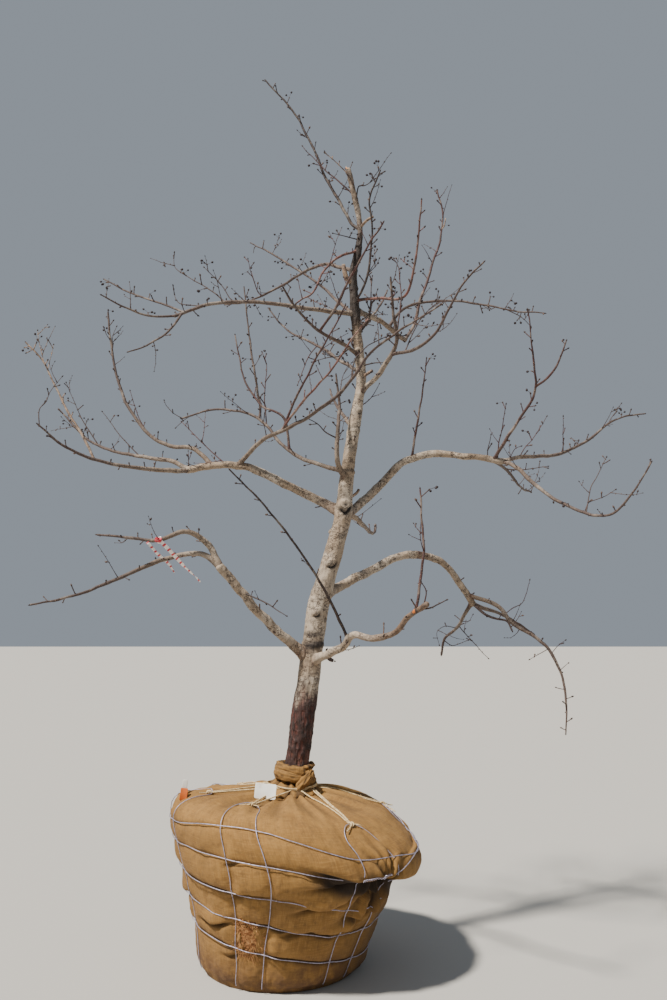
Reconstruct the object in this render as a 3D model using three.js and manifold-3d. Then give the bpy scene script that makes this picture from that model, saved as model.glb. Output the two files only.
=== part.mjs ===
// A leafless young fruit tree standing on its wrapped, wired root ball.
// Millimetres, +Z up. The origin is the centre of the ball's flat underside.
import * as THREE from "three";
import { mergeVertices } from "three/addons/utils/BufferGeometryUtils.js";
import Module from "manifold-3d";

const wasm = await Module();
wasm.setup();

// Driving sizes of the root ball
const FIT_GAP = 0.3;
const BALL_SEAT_HEIGHT = 690;
const BALL_SEAT_RADIUS = 135;
const BALL_TOP_FALL = 0.09;
const BALL_BACK_FALL = 0.11;
const BALL_BACK_BEARING = 132;
const BALL_SIDES = 24;
// Each level of the ball: height, shift of its centre to the right, radius
const BALL_LEVELS = [
  [0, 0, 315],
  [40, 6, 338],
  [150, 20, 362],
  [260, 37, 396],
  [360, 55, 440],
  [445, 72, 482],
  [535, 50, 490],
  [605, 18, 470],
  [650, 4, 425],
  [676, 0, 350],
  [686, 2, 245],
  [BALL_SEAT_HEIGHT, 20, BALL_SEAT_RADIUS],
];
// The cloth sags out over the lower wires on the right
const SAG_BULGE = 34;
const SAG_BULGE_BEARING = -12;
const SAG_BULGE_HEIGHT = 430;
const SAG_BULGE_REACH = 90;

// Driving sizes of the wire basket
const WIRE_DIAMETER = 6;
const WIRE_LIFT = 6;
const WIRE_SIDES = 3;
// Each ring: height, how far it falls towards the right, its sag at the front right and its dip at
// the right
const RINGS = [
  [150, 58, 5, 0],
  [272, 45, 30, 0],
  [390, 35, 45, 0],
  [515, 12, 70, 0],
  [628, 0, 90, 125],
];
const RING_SAG_BEARING = -56;
const RING_SAG_REACH = 25;
const RING_DIP_BEARING = -18;
const RING_DIP_REACH = 24;
const FIRST_LOOP_BEARING = -109;
const LOOP_HALF_ANGLE = 9.2;
const RIB_FOOT_HEIGHT = 22;
// The top of each loop, round from the front
const LOOP_TOPS = [682, 650, 650, 682, 682, 682];

// Driving sizes of the cloth collar, the twine, the tags and the tape
const COLLAR_HEIGHT = 112;
const COLLAR_TOP_RADIUS = 92;
const COLLAR_FOOT_RADIUS = 128;
const COLLAR_LEAN = 0.26;
const COLLAR_SIDES = 14;
const COLLAR_FOLD = 4;
const TWINE_DIAMETER = 8;
const TWINE_RING_LIFT = 34;
const TWINE_RING_STEPS = 14;
const TWINE_LEVELS = [687, 676, 664];
const CARD_SIZE = [86, 62, 1.6];
const CARD_TAIL_SIZE = [14, 84, 1.6];
const MARKER_SIZE = [24, 1.6, 108];
const TAPE_WIDTH = 28;
const TAPE_THICKNESS = 1.4;
const TAPE_TAIL_LENGTHS = [225, 160];
const TAPE_ALONG = 0.57;

// Driving sizes of the tree. Height above the floor, shift to the right, shift back, diameter.
const TRUNK_SIDES = 12;
const TRUNK_RING_STEP = 100;
const TRUNK_LEVELS = [
  [BALL_SEAT_HEIGHT + FIT_GAP, 37, 0, 134],
  [725, 47, 0, 112],
  [783, 62, 0, 98],
  [1005, 91, 0, 100],
  [1110, 106, 0, 98],
  [1260, 128, 0, 90],
  [1485, 158, 0, 90],
  [1605, 196, 0, 80],
  [1710, 226, 0, 78],
  [1855, 261, 0, 69],
  [2005, 277, 0, 58],
  [2250, 311, 18, 52],
  [2450, 342, 22, 44],
  [2670, 324, 18, 38],
  [2805, 313, 4, 36],
  [2905, 306, 0, 31],
  [3095, 338, 16, 26],
  [3215, 330, 18, 24],
  [3315, 307, 4, 22],
  [3412, 286, 0, 17],
];
const LIMB_RING_STEP = 125;
const LIMB_TAPER_POWER = 0.85;
const FLARE_RING_SHARE = 0.35;

// Every limb grows from a place along its parent, counted from 0 at the parent's foot to 1 at its
// tip. It has a foot and a tip diameter, and it grows in runs: a length, a bearing (0 is to the
// right and 90 to the back) and a rise over the level.
const limb = (name, on, along, diameters, runs) => ({ name, on, along, diameters, runs });
const LIMBS = [
  // Lower whorl
  limb("lower_left_bough", "trunk", 0.2, [44, 35], [[145, 211, 37], [235, 208, 43], [195, 207, 47]]),
  limb("lower_left_upper_fork", "lower_left_bough", 0.97, [31, 8],
    [[170, 195, 57], [62, 210, 10], [92, 201, -22], [150, 188, 3], [122, 180, 6]]),
  limb("lower_left_lower_fork", "lower_left_bough", 0.95, [26, 7],
    [[132, 188, 36], [115, 185, -10], [210, 211, -21], [198, 220, -20], [193, 216, -12]]),
  limb("lower_right_bough", "trunk", 0.2, [36, 19],
    [[95, 301, 14], [112, 311, 16], [122, 294, 26], [75, 305, 13], [143, 315, -5], [104, 297, 31],
      [110, 302, 32], [92, 295, 15]]),
  limb("lower_right_shoot", "lower_right_bough", 0.89, [13, 6],
    [[110, 23, 76], [128, 37, 83], [230, 98, 80]]),
  limb("front_whip", "lower_right_bough", 0.33, [13, 6],
    [[196, 231, 58], [290, 222, 51], [268, 212, 45], [120, 207, 42]]),
  limb("arch_rise", "trunk", 0.29, [41, 36], [[130, 44, 27], [235, 40, 22], [163, 32, 22], [74, 24, 1]]),
  limb("arch_fall", "arch_rise", 0.98, [34, 30],
    [[98, 27, -7], [78, 25, -24], [133, 27, -48], [105, 19, -54]]),
  limb("arch_weeping_end", "arch_fall", 0.97, [23, 7],
    [[126, 340, -9], [102, 342, -51], [115, 337, -28], [134, 322, -43], [138, 313, -66], [213, 258, -73]]),
  limb("arch_short_limb", "arch_fall", 0.94, [21, 10],
    [[78, 42, -28], [135, 37, -13], [160, 33, -25], [92, 29, -27]]),
  limb("arch_drop_limb", "arch_fall", 0.9, [21, 10],
    [[102, 104, -62], [73, 110, -43], [111, 131, -34], [96, 112, -63]]),
  limb("lower_back_bough", "trunk", 0.43, [27, 11],
    [[112, 63, -3], [208, 76, -8], [270, 78, -4], [150, 84, 20]]),

  // Middle whorl, left
  limb("second_left_bough", "trunk", 0.42, [41, 31],
    [[121, 148, 40], [173, 161, 26], [221, 168, 25], [104, 169, 9], [183, 167, -6]]),
  limb("second_left_upper_fork", "second_left_bough", 0.97, [23, 8],
    [[165, 154, 18], [216, 152, 10], [222, 152, 18], [292, 154, 39]]),
  limb("second_left_lower_fork", "second_left_bough", 0.95, [25, 8],
    [[140, 201, -7], [208, 209, 4], [184, 206, 12], [138, 210, 28], [76, 201, 44]]),
  limb("pale_left_shoot", "second_left_lower_fork", 0.59, [13, 6],
    [[170, 169, 53], [163, 167, 58], [163, 165, 63], [163, 169, 49]]),
  limb("upswept_left_limb", "second_left_bough", 0.88, [23, 8],
    [[75, 131, 66], [166, 166, 12], [149, 162, 29], [271, 157, 56], [253, 147, 73], [136, 131, 79]]),
  limb("crossing_limb", "second_left_bough", 0.64, [22, 7],
    [[140, 295, 44], [196, 317, 14], [212, 323, 19], [213, 324, 36], [121, 318, 42], [146, 332, 29],
      [185, 331, 25]]),
  limb("crossing_fork_long", "crossing_limb", 0.18, [13, 6],
    [[222, 310, 25], [136, 315, 33], [144, 317, 35], [143, 322, 47], [90, 324, 41]]),
  limb("crossing_fork_short", "crossing_limb", 0.23, [12, 6],
    [[181, 322, 51], [151, 317, 54], [148, 331, 56], [138, 343, 59]]),
  limb("side_stem", "trunk", 0.475, [28, 8],
    [[98, 239, 49], [99, 262, 84], [93, 90, 84], [65, 70, 65], [158, 200, 83]]),
  limb("third_left_bough", "side_stem", 0.2, [21, 8],
    [[165, 146, 9], [202, 144, 32], [139, 141, 47], [160, 156, 23], [128, 162, 3], [146, 164, -12]]),
  limb("third_left_outer_shoot", "third_left_bough", 0.43, [13, 6],
    [[104, 314, 37], [78, 164, 23], [140, 157, 43], [159, 144, 65], [151, 147, 76]]),
  limb("third_left_inner_shoot", "third_left_bough", 0.48, [13, 6],
    [[138, 130, 55], [148, 120, 72], [251, 124, 73], [243, 116, 74]]),
  limb("middle_back_bough", "trunk", 0.56, [25, 8],
    [[113, 96, 27], [193, 96, 20], [225, 102, 25], [235, 99, 31]]),

  // Middle whorl, right
  limb("second_right_bough", "trunk", 0.425, [41, 26],
    [[95, 43, 30], [136, 28, 38], [116, 16, 52], [109, 0, 30], [178, 354, 4], [243, 350, -9]]),
  limb("right_upright_shoot", "second_right_bough", 0.5, [12, 5],
    [[150, 320, 76], [150, 318, 77], [160, 316, 80]]),
  limb("right_straight_fork", "second_right_bough", 0.96, [21, 7],
    [[140, 28, 11], [196, 31, 6], [218, 30, 23], [204, 28, 32], [180, 20, 13]]),
  limb("right_upper_fork", "second_right_bough", 0.88, [17, 5],
    [[95, 321, 26], [123, 313, 48], [179, 315, 51], [113, 244, 67], [223, 234, 77]]),
  limb("right_upper_side_shoot", "right_upper_fork", 0.54, [12, 6], [[114, 319, 37], [130, 320, 62]]),
  limb("right_front_fork", "second_right_bough", 0.95, [21, 6],
    [[142, 306, -21], [149, 302, -38], [196, 315, -31], [143, 314, -14], [100, 316, 30], [184, 313, 53]]),
  limb("right_back_fork", "second_right_bough", 0.9, [17, 8],
    [[170, 52, -11], [256, 62, -14], [150, 62, -4]]),

  // Upper whorls, right
  limb("upper_right_bough", "trunk", 0.64, [27, 8],
    [[119, 315, 18], [127, 307, 38], [137, 263, 64], [165, 251, 75]]),
  limb("upper_right_outer_fork", "upper_right_bough", 0.43, [17, 6],
    [[134, 318, -4], [100, 319, 24], [219, 321, 55], [134, 325, 39]]),
  limb("hooked_bough", "trunk", 0.75, [25, 20], [[128, 46, 11], [130, 52, -13], [126, 54, -12]]),
  limb("hooked_bough_upright", "hooked_bough", 0.97, [17, 7],
    [[76, 48, 33], [113, 37, 73], [262, 37, 67], [274, 44, 71], [166, 142, 79]]),
  limb("salmon_shoot", "trunk", 0.78, [15, 6],
    [[117, 329, -9], [156, 320, -4], [166, 303, 65], [223, 282, 68]]),
  limb("right_level_bough", "hooked_bough", 0.68, [16, 6],
    [[139, 15, 55], [109, 349, 10], [185, 347, -5], [195, 341, -17], [148, 344, -9]]),
  limb("upper_back_bough", "trunk", 0.72, [18, 7],
    [[138, 78, 28], [209, 76, 28], [219, 73, 30], [192, 73, 40]]),
  limb("right_whip", "trunk", 0.77, [12, 6],
    [[97, 305, 41], [199, 307, 75], [212, 263, 79], [88, 332, 61]]),

  // Upper whorls, left
  limb("fourth_left_bough", "trunk", 0.763, [22, 13],
    [[141, 210, -12], [216, 202, 1], [143, 196, 2], [175, 193, -8], [143, 189, -23]]),
  limb("fourth_left_outer_fork", "fourth_left_bough", 0.98, [11, 6],
    [[105, 193, -7], [114, 201, 11], [107, 204, 23]]),
  limb("fourth_left_lower_fork", "fourth_left_bough", 0.97, [11, 6],
    [[100, 254, -45], [107, 231, -43], [144, 219, -28]]),
  limb("fourth_left_upper_fork", "fourth_left_bough", 0.93, [11, 6],
    [[165, 153, 20], [190, 153, 24], [126, 159, 29]]),
  limb("fifth_left_bough", "trunk", 0.81, [19, 7],
    [[95, 120, 43], [100, 136, 29], [123, 139, 4], [141, 144, -15], [227, 153, -17], [136, 154, -1]]),
  limb("drooping_shoot", "trunk", 0.838, [13, 6],
    [[81, 228, 8], [151, 232, -33], [151, 243, -53], [154, 233, -35]]),
  limb("upper_left_back_bough", "trunk", 0.745, [17, 6],
    [[180, 125, 41], [219, 130, 39], [276, 142, 35], [207, 145, 32]]),
  limb("sixth_left_bough", "trunk", 0.69, [21, 7],
    [[137, 228, 12], [105, 216, 16], [120, 216, 31], [131, 221, 46]]),
  limb("front_upright_shoot", "sixth_left_bough", 0.47, [13, 7],
    [[112, 297, 32], [169, 313, 50], [145, 320, 50], [112, 326, 50]]),
  limb("seventh_left_bough", "trunk", 0.65, [18, 6],
    [[147, 135, 40], [170, 135, 33], [232, 137, 28], [204, 137, 44]]),

  // Top
  limb("leading_shoot", "trunk", 0.87, [16, 7],
    [[136, 143, 69], [205, 162, 62], [365, 157, 65], [271, 166, 53]]),
];

// Materials
const finish = (colour, roughness, metalness = 0) =>
  new THREE.MeshStandardMaterial({ color: colour, roughness, metalness });
const barkMaterial = () => finish(0x85776c, 0.85);
const clothMaterial = () => finish(0x9c7f5f, 0.95);
const wireMaterial = () => finish(0xa8a3ad, 0.45, 0.7);
const twineMaterial = () => finish(0xc9b58f, 0.9);
const cardMaterial = () => finish(0xf1f0ec, 0.6);
const tapeMaterial = () => finish(0xc8402f, 0.4);

// Solids from geometries and back
function toSolid(geometry) {
  const bare = geometry.clone();
  bare.deleteAttribute("normal");
  bare.deleteAttribute("uv");
  const merged = mergeVertices(bare, 1e-4);
  return new wasm.Manifold(new wasm.Mesh({
    numProp: 3,
    vertProperties: Float32Array.from(merged.attributes.position.array),
    triVerts: Uint32Array.from(merged.index.array),
  }));
}

function toGeometry(solid) {
  const mesh = solid.getMesh();
  const geometry = new THREE.BufferGeometry();
  geometry.setAttribute("position", new THREE.BufferAttribute(Float32Array.from(mesh.vertProperties), 3));
  geometry.setIndex(Array.from(mesh.triVerts));
  const flat = geometry.toNonIndexed();
  flat.computeVertexNormals();
  return flat;
}

function named(name, solid, material) {
  const mesh = new THREE.Mesh(toGeometry(solid), material);
  mesh.name = name;
  return mesh;
}

// A cut can leave a crumb at a crotch; the limb is the largest piece
function largestPiece(solid) {
  const pieces = solid.decompose();
  return pieces.reduce((best, piece) => (piece.volume() > best.volume() ? piece : best));
}

// A closed skin over rings of points, each ring with the same number of points
function skin(rings) {
  const sides = rings[0].length;
  const positions = rings.flat();
  const faces = [];
  for (let level = 0; level + 1 < rings.length; level += 1) {
    for (let side = 0; side < sides; side += 1) {
      const here = level * sides + side;
      const next = level * sides + ((side + 1) % sides);
      faces.push(here, next, next + sides, here, next + sides, here + sides);
    }
  }
  const last = (rings.length - 1) * sides;
  for (let side = 1; side + 1 < sides; side += 1) {
    faces.push(0, side + 1, side);
    faces.push(last, last + side, last + side + 1);
  }
  const geometry = new THREE.BufferGeometry();
  const numbers = positions.flatMap((point) => [point.x, point.y, point.z]);
  geometry.setAttribute("position", new THREE.BufferAttribute(new Float32Array(numbers), 3));
  geometry.setIndex(faces);
  return geometry;
}

// A tube round a list of centres, with its own radius at each. Its first corner points along out.
function tube(centres, radii, sides, out = new THREE.Vector3(1, 0, 0)) {
  const along = centres.map((centre, i) => {
    const before = centres[Math.max(0, i - 1)];
    const after = centres[Math.min(centres.length - 1, i + 1)];
    return after.clone().sub(before).normalize();
  });
  const side = out.clone();
  if (Math.abs(along[0].dot(side)) > 0.8) {
    side.set(0, 1, 0);
  }
  const rings = centres.map((centre, i) => {
    side.addScaledVector(along[i], -side.dot(along[i])).normalize();
    const other = along[i].clone().cross(side);
    const ring = [];
    for (let corner = 0; corner < sides; corner += 1) {
      const angle = (2 * Math.PI * corner) / sides;
      ring.push(centre.clone()
        .addScaledVector(side, radii[i] * Math.cos(angle))
        .addScaledVector(other, radii[i] * Math.sin(angle)));
    }
    return ring;
  });
  return toSolid(skin(rings));
}

function smoothLine(points) {
  return new THREE.CatmullRomCurve3(points, false, "centripetal");
}

// The trunk: its centre line and its diameter at a place along it
const trunkLine = smoothLine(TRUNK_LEVELS.map(([height, right, back]) =>
  new THREE.Vector3(right, back, height)));

function trunkRadius(height) {
  const above = TRUNK_LEVELS.findIndex(([level]) => level > height);
  if (above < 1) {
    return TRUNK_LEVELS[above < 0 ? TRUNK_LEVELS.length - 1 : 0][3] / 2;
  }
  const [low, , , wideLow] = TRUNK_LEVELS[above - 1];
  const [high, , , wideHigh] = TRUNK_LEVELS[above];
  return THREE.MathUtils.lerp(wideLow, wideHigh, (height - low) / (high - low)) / 2;
}

function trunkPlaces() {
  const count = Math.round(trunkLine.getLength() / TRUNK_RING_STEP);
  return Array.from({ length: count + 1 }, (_, i) => i / count);
}

// The trunk's rings lie level, so its foot is cut flat. The grown one also reaches below the foot.
function trunkSolid(grow = 0) {
  const places = trunkPlaces();
  places.splice(1, 0, FLARE_RING_SHARE * places[1]);
  const rings = places.map((place) => {
    const centre = trunkLine.getPointAt(place);
    const radius = trunkRadius(centre.z) + grow;
    return Array.from({ length: TRUNK_SIDES }, (_, corner) => {
      const angle = (2 * Math.PI * corner) / TRUNK_SIDES;
      return new THREE.Vector3(radius * Math.cos(angle), radius * Math.sin(angle), 0).add(centre);
    });
  });
  if (grow > 0) {
    rings.unshift(rings[0].map((point) => new THREE.Vector3(point.x, point.y, point.z - grow)));
  }
  return toSolid(skin(rings));
}

// Limbs
function directionOf(bearing, rise) {
  const turn = THREE.MathUtils.degToRad(bearing);
  const lift = THREE.MathUtils.degToRad(rise);
  return new THREE.Vector3(Math.cos(turn) * Math.cos(lift), Math.sin(turn) * Math.cos(lift), Math.sin(lift));
}

// The ring centres of each limb made so far, and a place along them from 0 to 1
const limbCentres = { trunk: trunkPlaces().map((place) => trunkLine.getPointAt(place)) };

function placeOn(name, along) {
  const centres = limbCentres[name];
  const step = Math.min(Math.floor(along * (centres.length - 1)), centres.length - 2);
  return centres[step].clone().lerp(centres[step + 1], along * (centres.length - 1) - step);
}

function centresOf({ on, along, runs }) {
  const points = [placeOn(on, along)];
  for (const [length, bearing, rise] of runs) {
    points.push(points.at(-1).clone().addScaledVector(directionOf(bearing, rise), length));
  }
  const line = smoothLine(points);
  return line.getSpacedPoints(Math.max(4, Math.round(line.getLength() / LIMB_RING_STEP)));
}

function sidesFor(diameter) {
  if (diameter > 30) {
    return 7;
  }
  return diameter > 20 ? 5 : 4;
}

function limbSolid({ name, diameters: [foot, tip] }, grow = 0) {
  const centres = limbCentres[name].map((centre) => centre.clone());
  const count = centres.length - 1;
  const onward = centres[count].clone().sub(centres[count - 1]).normalize();
  centres[count].addScaledVector(onward, grow);
  const radii = centres.map((_, i) =>
    THREE.MathUtils.lerp(foot, tip, (i / count) ** LIMB_TAPER_POWER) / 2 + grow);
  return tube(centres, radii, sidesFor(foot));
}

// Each limb is cut back to a fine gap from everything made before it
function limbMeshes(trunkGrown) {
  const grownSoFar = [trunkGrown];
  return LIMBS.map((one) => {
    limbCentres[one.name] = centresOf(one);
    let solid = limbSolid(one);
    for (const other of grownSoFar) {
      solid = solid.subtract(other);
    }
    grownSoFar.push(limbSolid(one, FIT_GAP));
    return named(one.name, largestPiece(solid), barkMaterial());
  });
}

// The root ball: its skin at a bearing, on one of its levels or between two of them
function ballCorner(bearing, [level, shift, radius], grow) {
  const upFromFoot = THREE.MathUtils.smoothstep(level, 0, 60);
  const offBearing = bearing - THREE.MathUtils.degToRad(SAG_BULGE_BEARING);
  const nearBulge = Math.exp(-(((level - SAG_BULGE_HEIGHT) / SAG_BULGE_REACH) ** 2))
    * Math.max(0, Math.cos(offBearing)) ** 6;
  const out = radius + grow + SAG_BULGE * nearBulge * upFromFoot;
  const offBack = bearing - THREE.MathUtils.degToRad(BALL_BACK_BEARING);
  const slope = BALL_TOP_FALL * Math.cos(bearing) + BALL_BACK_FALL * Math.max(0, Math.cos(offBack));
  const fall = slope * out * THREE.MathUtils.smoothstep(level, 420, 650)
    * THREE.MathUtils.smoothstep(radius, BALL_SEAT_RADIUS, 350);
  const lift = grow * THREE.MathUtils.smoothstep(level, 540, 650);
  return new THREE.Vector3(shift + out * Math.cos(bearing), out * Math.sin(bearing), level - fall + lift);
}

function ballPoint(bearing, height, grow = 0) {
  const above = BALL_LEVELS.findIndex(([level]) => level > height);
  const [low, high] = [BALL_LEVELS[above - 1], BALL_LEVELS[above]];
  const share = (height - low[0]) / (high[0] - low[0]);
  return ballCorner(bearing, low, grow).lerp(ballCorner(bearing, high, grow), share);
}

function ballSolid(grow = 0) {
  const rings = BALL_LEVELS.map((level) => Array.from({ length: BALL_SIDES }, (_, side) =>
    ballCorner((2 * Math.PI * side) / BALL_SIDES, level, grow)));
  return toSolid(skin(rings));
}

// The wire basket: level rings, and ribs that join in pairs over the shoulder as loops
function wireAlong(centres, grow) {
  const out = new THREE.Vector3(centres[0].x, centres[0].y, 0).normalize();
  return tube(centres, centres.map(() => WIRE_DIAMETER / 2 + grow), WIRE_SIDES, out);
}

function closedWire(centres, grow) {
  const first = centres.slice(0, centres.length / 2 + 1);
  const second = [...centres.slice(centres.length / 2), centres[0]];
  return wireAlong(first, grow).add(wireAlong(second, grow));
}

function bump(bearing, middle, reach) {
  const off = THREE.MathUtils.euclideanModulo(bearing - middle + 180, 360) - 180;
  return Math.exp(-((off / reach) ** 2));
}

function ringWire([height, fall, sag, dip], grow) {
  return closedWire(Array.from({ length: BALL_SIDES }, (_, side) => {
    const degrees = (360 * side) / BALL_SIDES;
    const bearing = THREE.MathUtils.degToRad(degrees);
    const sagHere = sag * bump(degrees, RING_SAG_BEARING, RING_SAG_REACH);
    const dipHere = dip * bump(degrees, RING_DIP_BEARING, RING_DIP_REACH);
    return ballPoint(bearing, height - fall * Math.cos(bearing) - sagHere - dipHere, WIRE_LIFT);
  }), grow);
}

function loopWire(middle, top, grow) {
  const half = THREE.MathUtils.degToRad(LOOP_HALF_ANGLE);
  const heights = [RIB_FOOT_HEIGHT, ...BALL_LEVELS.map(([level]) => level)]
    .filter((level) => level > 0 && level < top - 5);
  const up = heights.map((height) => ballPoint(middle - half, height, WIRE_LIFT));
  const down = heights.map((height) => ballPoint(middle + half, height, WIRE_LIFT)).reverse();
  const overTop = [-0.6, 0, 0.6].map((share) =>
    ballPoint(middle + half * share, top - 5 * Math.abs(share), WIRE_LIFT));
  return wireAlong([...up, ...overTop, ...down], grow);
}

const loops = LOOP_TOPS.map((top, i) =>
  [THREE.MathUtils.degToRad(FIRST_LOOP_BEARING + (360 / LOOP_TOPS.length) * i), top]);

function basketSolid(grow = 0) {
  const wires = [
    ...RINGS.map((ring) => ringWire(ring, grow)),
    ...loops.map(([bearing, top]) => loopWire(bearing, top, grow)),
  ];
  return wires.reduce((whole, wire) => whole.add(wire));
}

// The cloth gathered round the trunk's foot
const collarCentre = trunkLine.getPointAt(0);

function collarSolid(grow = 0) {
  const levels = [[-30, COLLAR_FOOT_RADIUS + 14], [12, COLLAR_FOOT_RADIUS], [52, COLLAR_TOP_RADIUS + 6],
    [84, COLLAR_TOP_RADIUS - 6], [COLLAR_HEIGHT, COLLAR_TOP_RADIUS]];
  const rings = levels.map(([up, radius], level) => Array.from({ length: COLLAR_SIDES }, (_, side) => {
    const bearing = (2 * Math.PI * side) / COLLAR_SIDES;
    const fold = side % 2 ? COLLAR_FOLD : -COLLAR_FOLD;
    const out = radius + fold + grow;
    const middle = collarCentre.x + Math.max(0, up) * COLLAR_LEAN;
    const rim = level === levels.length - 1 ? fold + grow : 0;
    return new THREE.Vector3(middle + out * Math.cos(bearing), out * Math.sin(bearing),
      BALL_SEAT_HEIGHT + up + rim);
  }));
  return toSolid(skin(rings));
}

// Twine from the collar out to each loop, and once round the collar
function twineSolid(grow = 0) {
  const radius = TWINE_DIAMETER / 2;
  const line = (points) => tube(points, points.map(() => radius + grow), 4);
  const ringHeight = BALL_SEAT_HEIGHT + TWINE_RING_LIFT;
  const ringRadius = THREE.MathUtils.lerp(COLLAR_FOOT_RADIUS, COLLAR_TOP_RADIUS, 0.5) + TWINE_DIAMETER;
  const middle = collarCentre.x + TWINE_RING_LIFT * COLLAR_LEAN;
  const onRing = (bearing) => new THREE.Vector3(middle + ringRadius * Math.cos(bearing),
    ringRadius * Math.sin(bearing), ringHeight);
  const turns = Array.from({ length: TWINE_RING_STEPS + 1 }, (_, i) =>
    onRing((2 * Math.PI * i) / TWINE_RING_STEPS));
  const round = line(turns.slice(0, TWINE_RING_STEPS / 2 + 1)).add(line(turns.slice(TWINE_RING_STEPS / 2)));
  const spokes = loops.map(([bearing, top]) => {
    const overBall = TWINE_LEVELS.filter((level) => level > top + 1)
      .map((level) => ballPoint(bearing, level, radius + 2));
    return line([onRing(bearing), ...overBall, ballPoint(bearing, top - 4, radius + 1)]);
  });
  return spokes.reduce((whole, spoke) => whole.add(spoke), round);
}

// A blank card that leans back on its strap, on the ball beside the collar
function placedBox([wide, deep, high], place, turnZ, tiltX = 0, tiltY = 0) {
  const box = new THREE.BoxGeometry(wide, deep, high);
  box.rotateX(THREE.MathUtils.degToRad(tiltX));
  box.rotateY(THREE.MathUtils.degToRad(tiltY));
  box.rotateZ(THREE.MathUtils.degToRad(turnZ));
  box.translate(...place);
  return toSolid(box);
}

function cardSolid() {
  const tail = placedBox(CARD_TAIL_SIZE, [-48, -140, 710], -24, 10);
  return placedBox(CARD_SIZE, [-56, -162, 718], 4, 62, 6).add(tail);
}

function markerSolid() {
  return placedBox(MARKER_SIZE, [-402, -60, 692], 12, 0, 8);
}

// A band of tape round the lower left bough, with two tails that hang down
function tapeSolid() {
  const centre = placeOn("lower_left_upper_fork", TAPE_ALONG);
  const along = placeOn("lower_left_upper_fork", TAPE_ALONG + 0.02).sub(centre).normalize();
  const [foot, tip] = LIMBS.find(({ name }) => name === "lower_left_upper_fork").diameters;
  const limbRadius = THREE.MathUtils.lerp(foot, tip, TAPE_ALONG ** LIMB_TAPER_POWER) / 2;
  const ends = [-0.5, 0.5].map((share) => centre.clone().addScaledVector(along, share * TAPE_WIDTH));
  const band = tube(ends, ends.map(() => limbRadius + 4), 8);
  const tails = TAPE_TAIL_LENGTHS.map((length, i) => {
    const lean = i === 0 ? 40 : 36;
    const drop = new THREE.Vector3(Math.sin(THREE.MathUtils.degToRad(lean)), 0,
      -Math.cos(THREE.MathUtils.degToRad(lean)));
    const middle = centre.clone().addScaledVector(drop, length / 2)
      .addScaledVector(new THREE.Vector3(0, -1, 0), limbRadius + 2)
      .addScaledVector(along, (i - 0.5) * TAPE_WIDTH * 0.4);
    return placedBox([TAPE_WIDTH - 6, TAPE_THICKNESS, length], middle.toArray(), 0, 0, -lean);
  });
  return tails.reduce((whole, tail) => whole.add(tail), band);
}

// The assembly
const tree = new THREE.Group();
const trunkGrown = trunkSolid(FIT_GAP);
const limbs = limbMeshes(trunkGrown);
const limbGrown = (name) => limbSolid(LIMBS.find((one) => one.name === name), FIT_GAP);
const ballGrown = ballSolid(FIT_GAP);
const collar = collarSolid().subtract(trunkGrown).subtract(ballGrown);
const collarGrown = collarSolid(FIT_GAP);
const basket = basketSolid().subtract(ballGrown);
const wiresGrown = basketSolid(FIT_GAP);
const twineGrown = twineSolid(FIT_GAP);
const card = cardSolid().subtract(ballGrown).subtract(collarGrown).subtract(twineGrown);
const marker = markerSolid().subtract(ballGrown).subtract(wiresGrown);
const twine = twineSolid().subtract(ballGrown).subtract(collarGrown).subtract(wiresGrown);

tree.add(named("root_ball", ballSolid(), clothMaterial()));
tree.add(named("burlap_collar", collar, clothMaterial()));
tree.add(named("wire_basket", largestPiece(basket), wireMaterial()));
tree.add(named("twine", largestPiece(twine), twineMaterial()));
tree.add(named("blank_card_tag", largestPiece(card), cardMaterial()));
tree.add(named("blank_marker_tag", largestPiece(marker), cardMaterial()));
tree.add(named("trunk", trunkSolid(), barkMaterial()));
tree.add(...limbs);
tree.add(named("marking_tape", tapeSolid().subtract(limbGrown("lower_left_upper_fork")), tapeMaterial()));

export default tree;
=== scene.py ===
"""A leafless young fruit tree standing on its wrapped, wired root ball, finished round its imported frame."""
import heapq
import math
import random
from functools import cache
from itertools import pairwise

import bpy
import numpy as np
from bpy.props import FloatProperty, FloatVectorProperty, IntProperty, PointerProperty
from bpy.types import Operator, Panel, PropertyGroup
from mathutils import Matrix, Vector


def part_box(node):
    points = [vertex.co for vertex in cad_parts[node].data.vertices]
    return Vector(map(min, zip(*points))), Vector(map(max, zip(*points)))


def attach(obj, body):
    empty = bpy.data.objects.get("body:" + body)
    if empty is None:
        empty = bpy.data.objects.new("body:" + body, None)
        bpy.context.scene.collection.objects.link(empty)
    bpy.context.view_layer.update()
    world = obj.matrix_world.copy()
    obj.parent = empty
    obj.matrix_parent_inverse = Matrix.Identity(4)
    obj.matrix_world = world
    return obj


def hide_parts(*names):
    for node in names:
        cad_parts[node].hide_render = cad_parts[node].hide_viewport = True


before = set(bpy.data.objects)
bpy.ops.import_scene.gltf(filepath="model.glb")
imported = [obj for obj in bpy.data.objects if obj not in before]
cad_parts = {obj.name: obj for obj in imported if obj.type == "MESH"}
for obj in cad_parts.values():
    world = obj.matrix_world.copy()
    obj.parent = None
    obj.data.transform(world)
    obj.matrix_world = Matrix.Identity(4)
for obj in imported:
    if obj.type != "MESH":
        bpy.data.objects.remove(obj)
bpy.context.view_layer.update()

bl_info = {
    "name": "Fruit tree on its root ball",
    "version": (1, 0, 0),
    "blender": (4, 5, 0),
    "location": "View3D > Sidebar > Fruit tree",
    "description": "Bark, twigs, buds, wrapped root ball, wire basket, twine and tags of a young fruit tree",
    "category": "Add Mesh",
}

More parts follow.
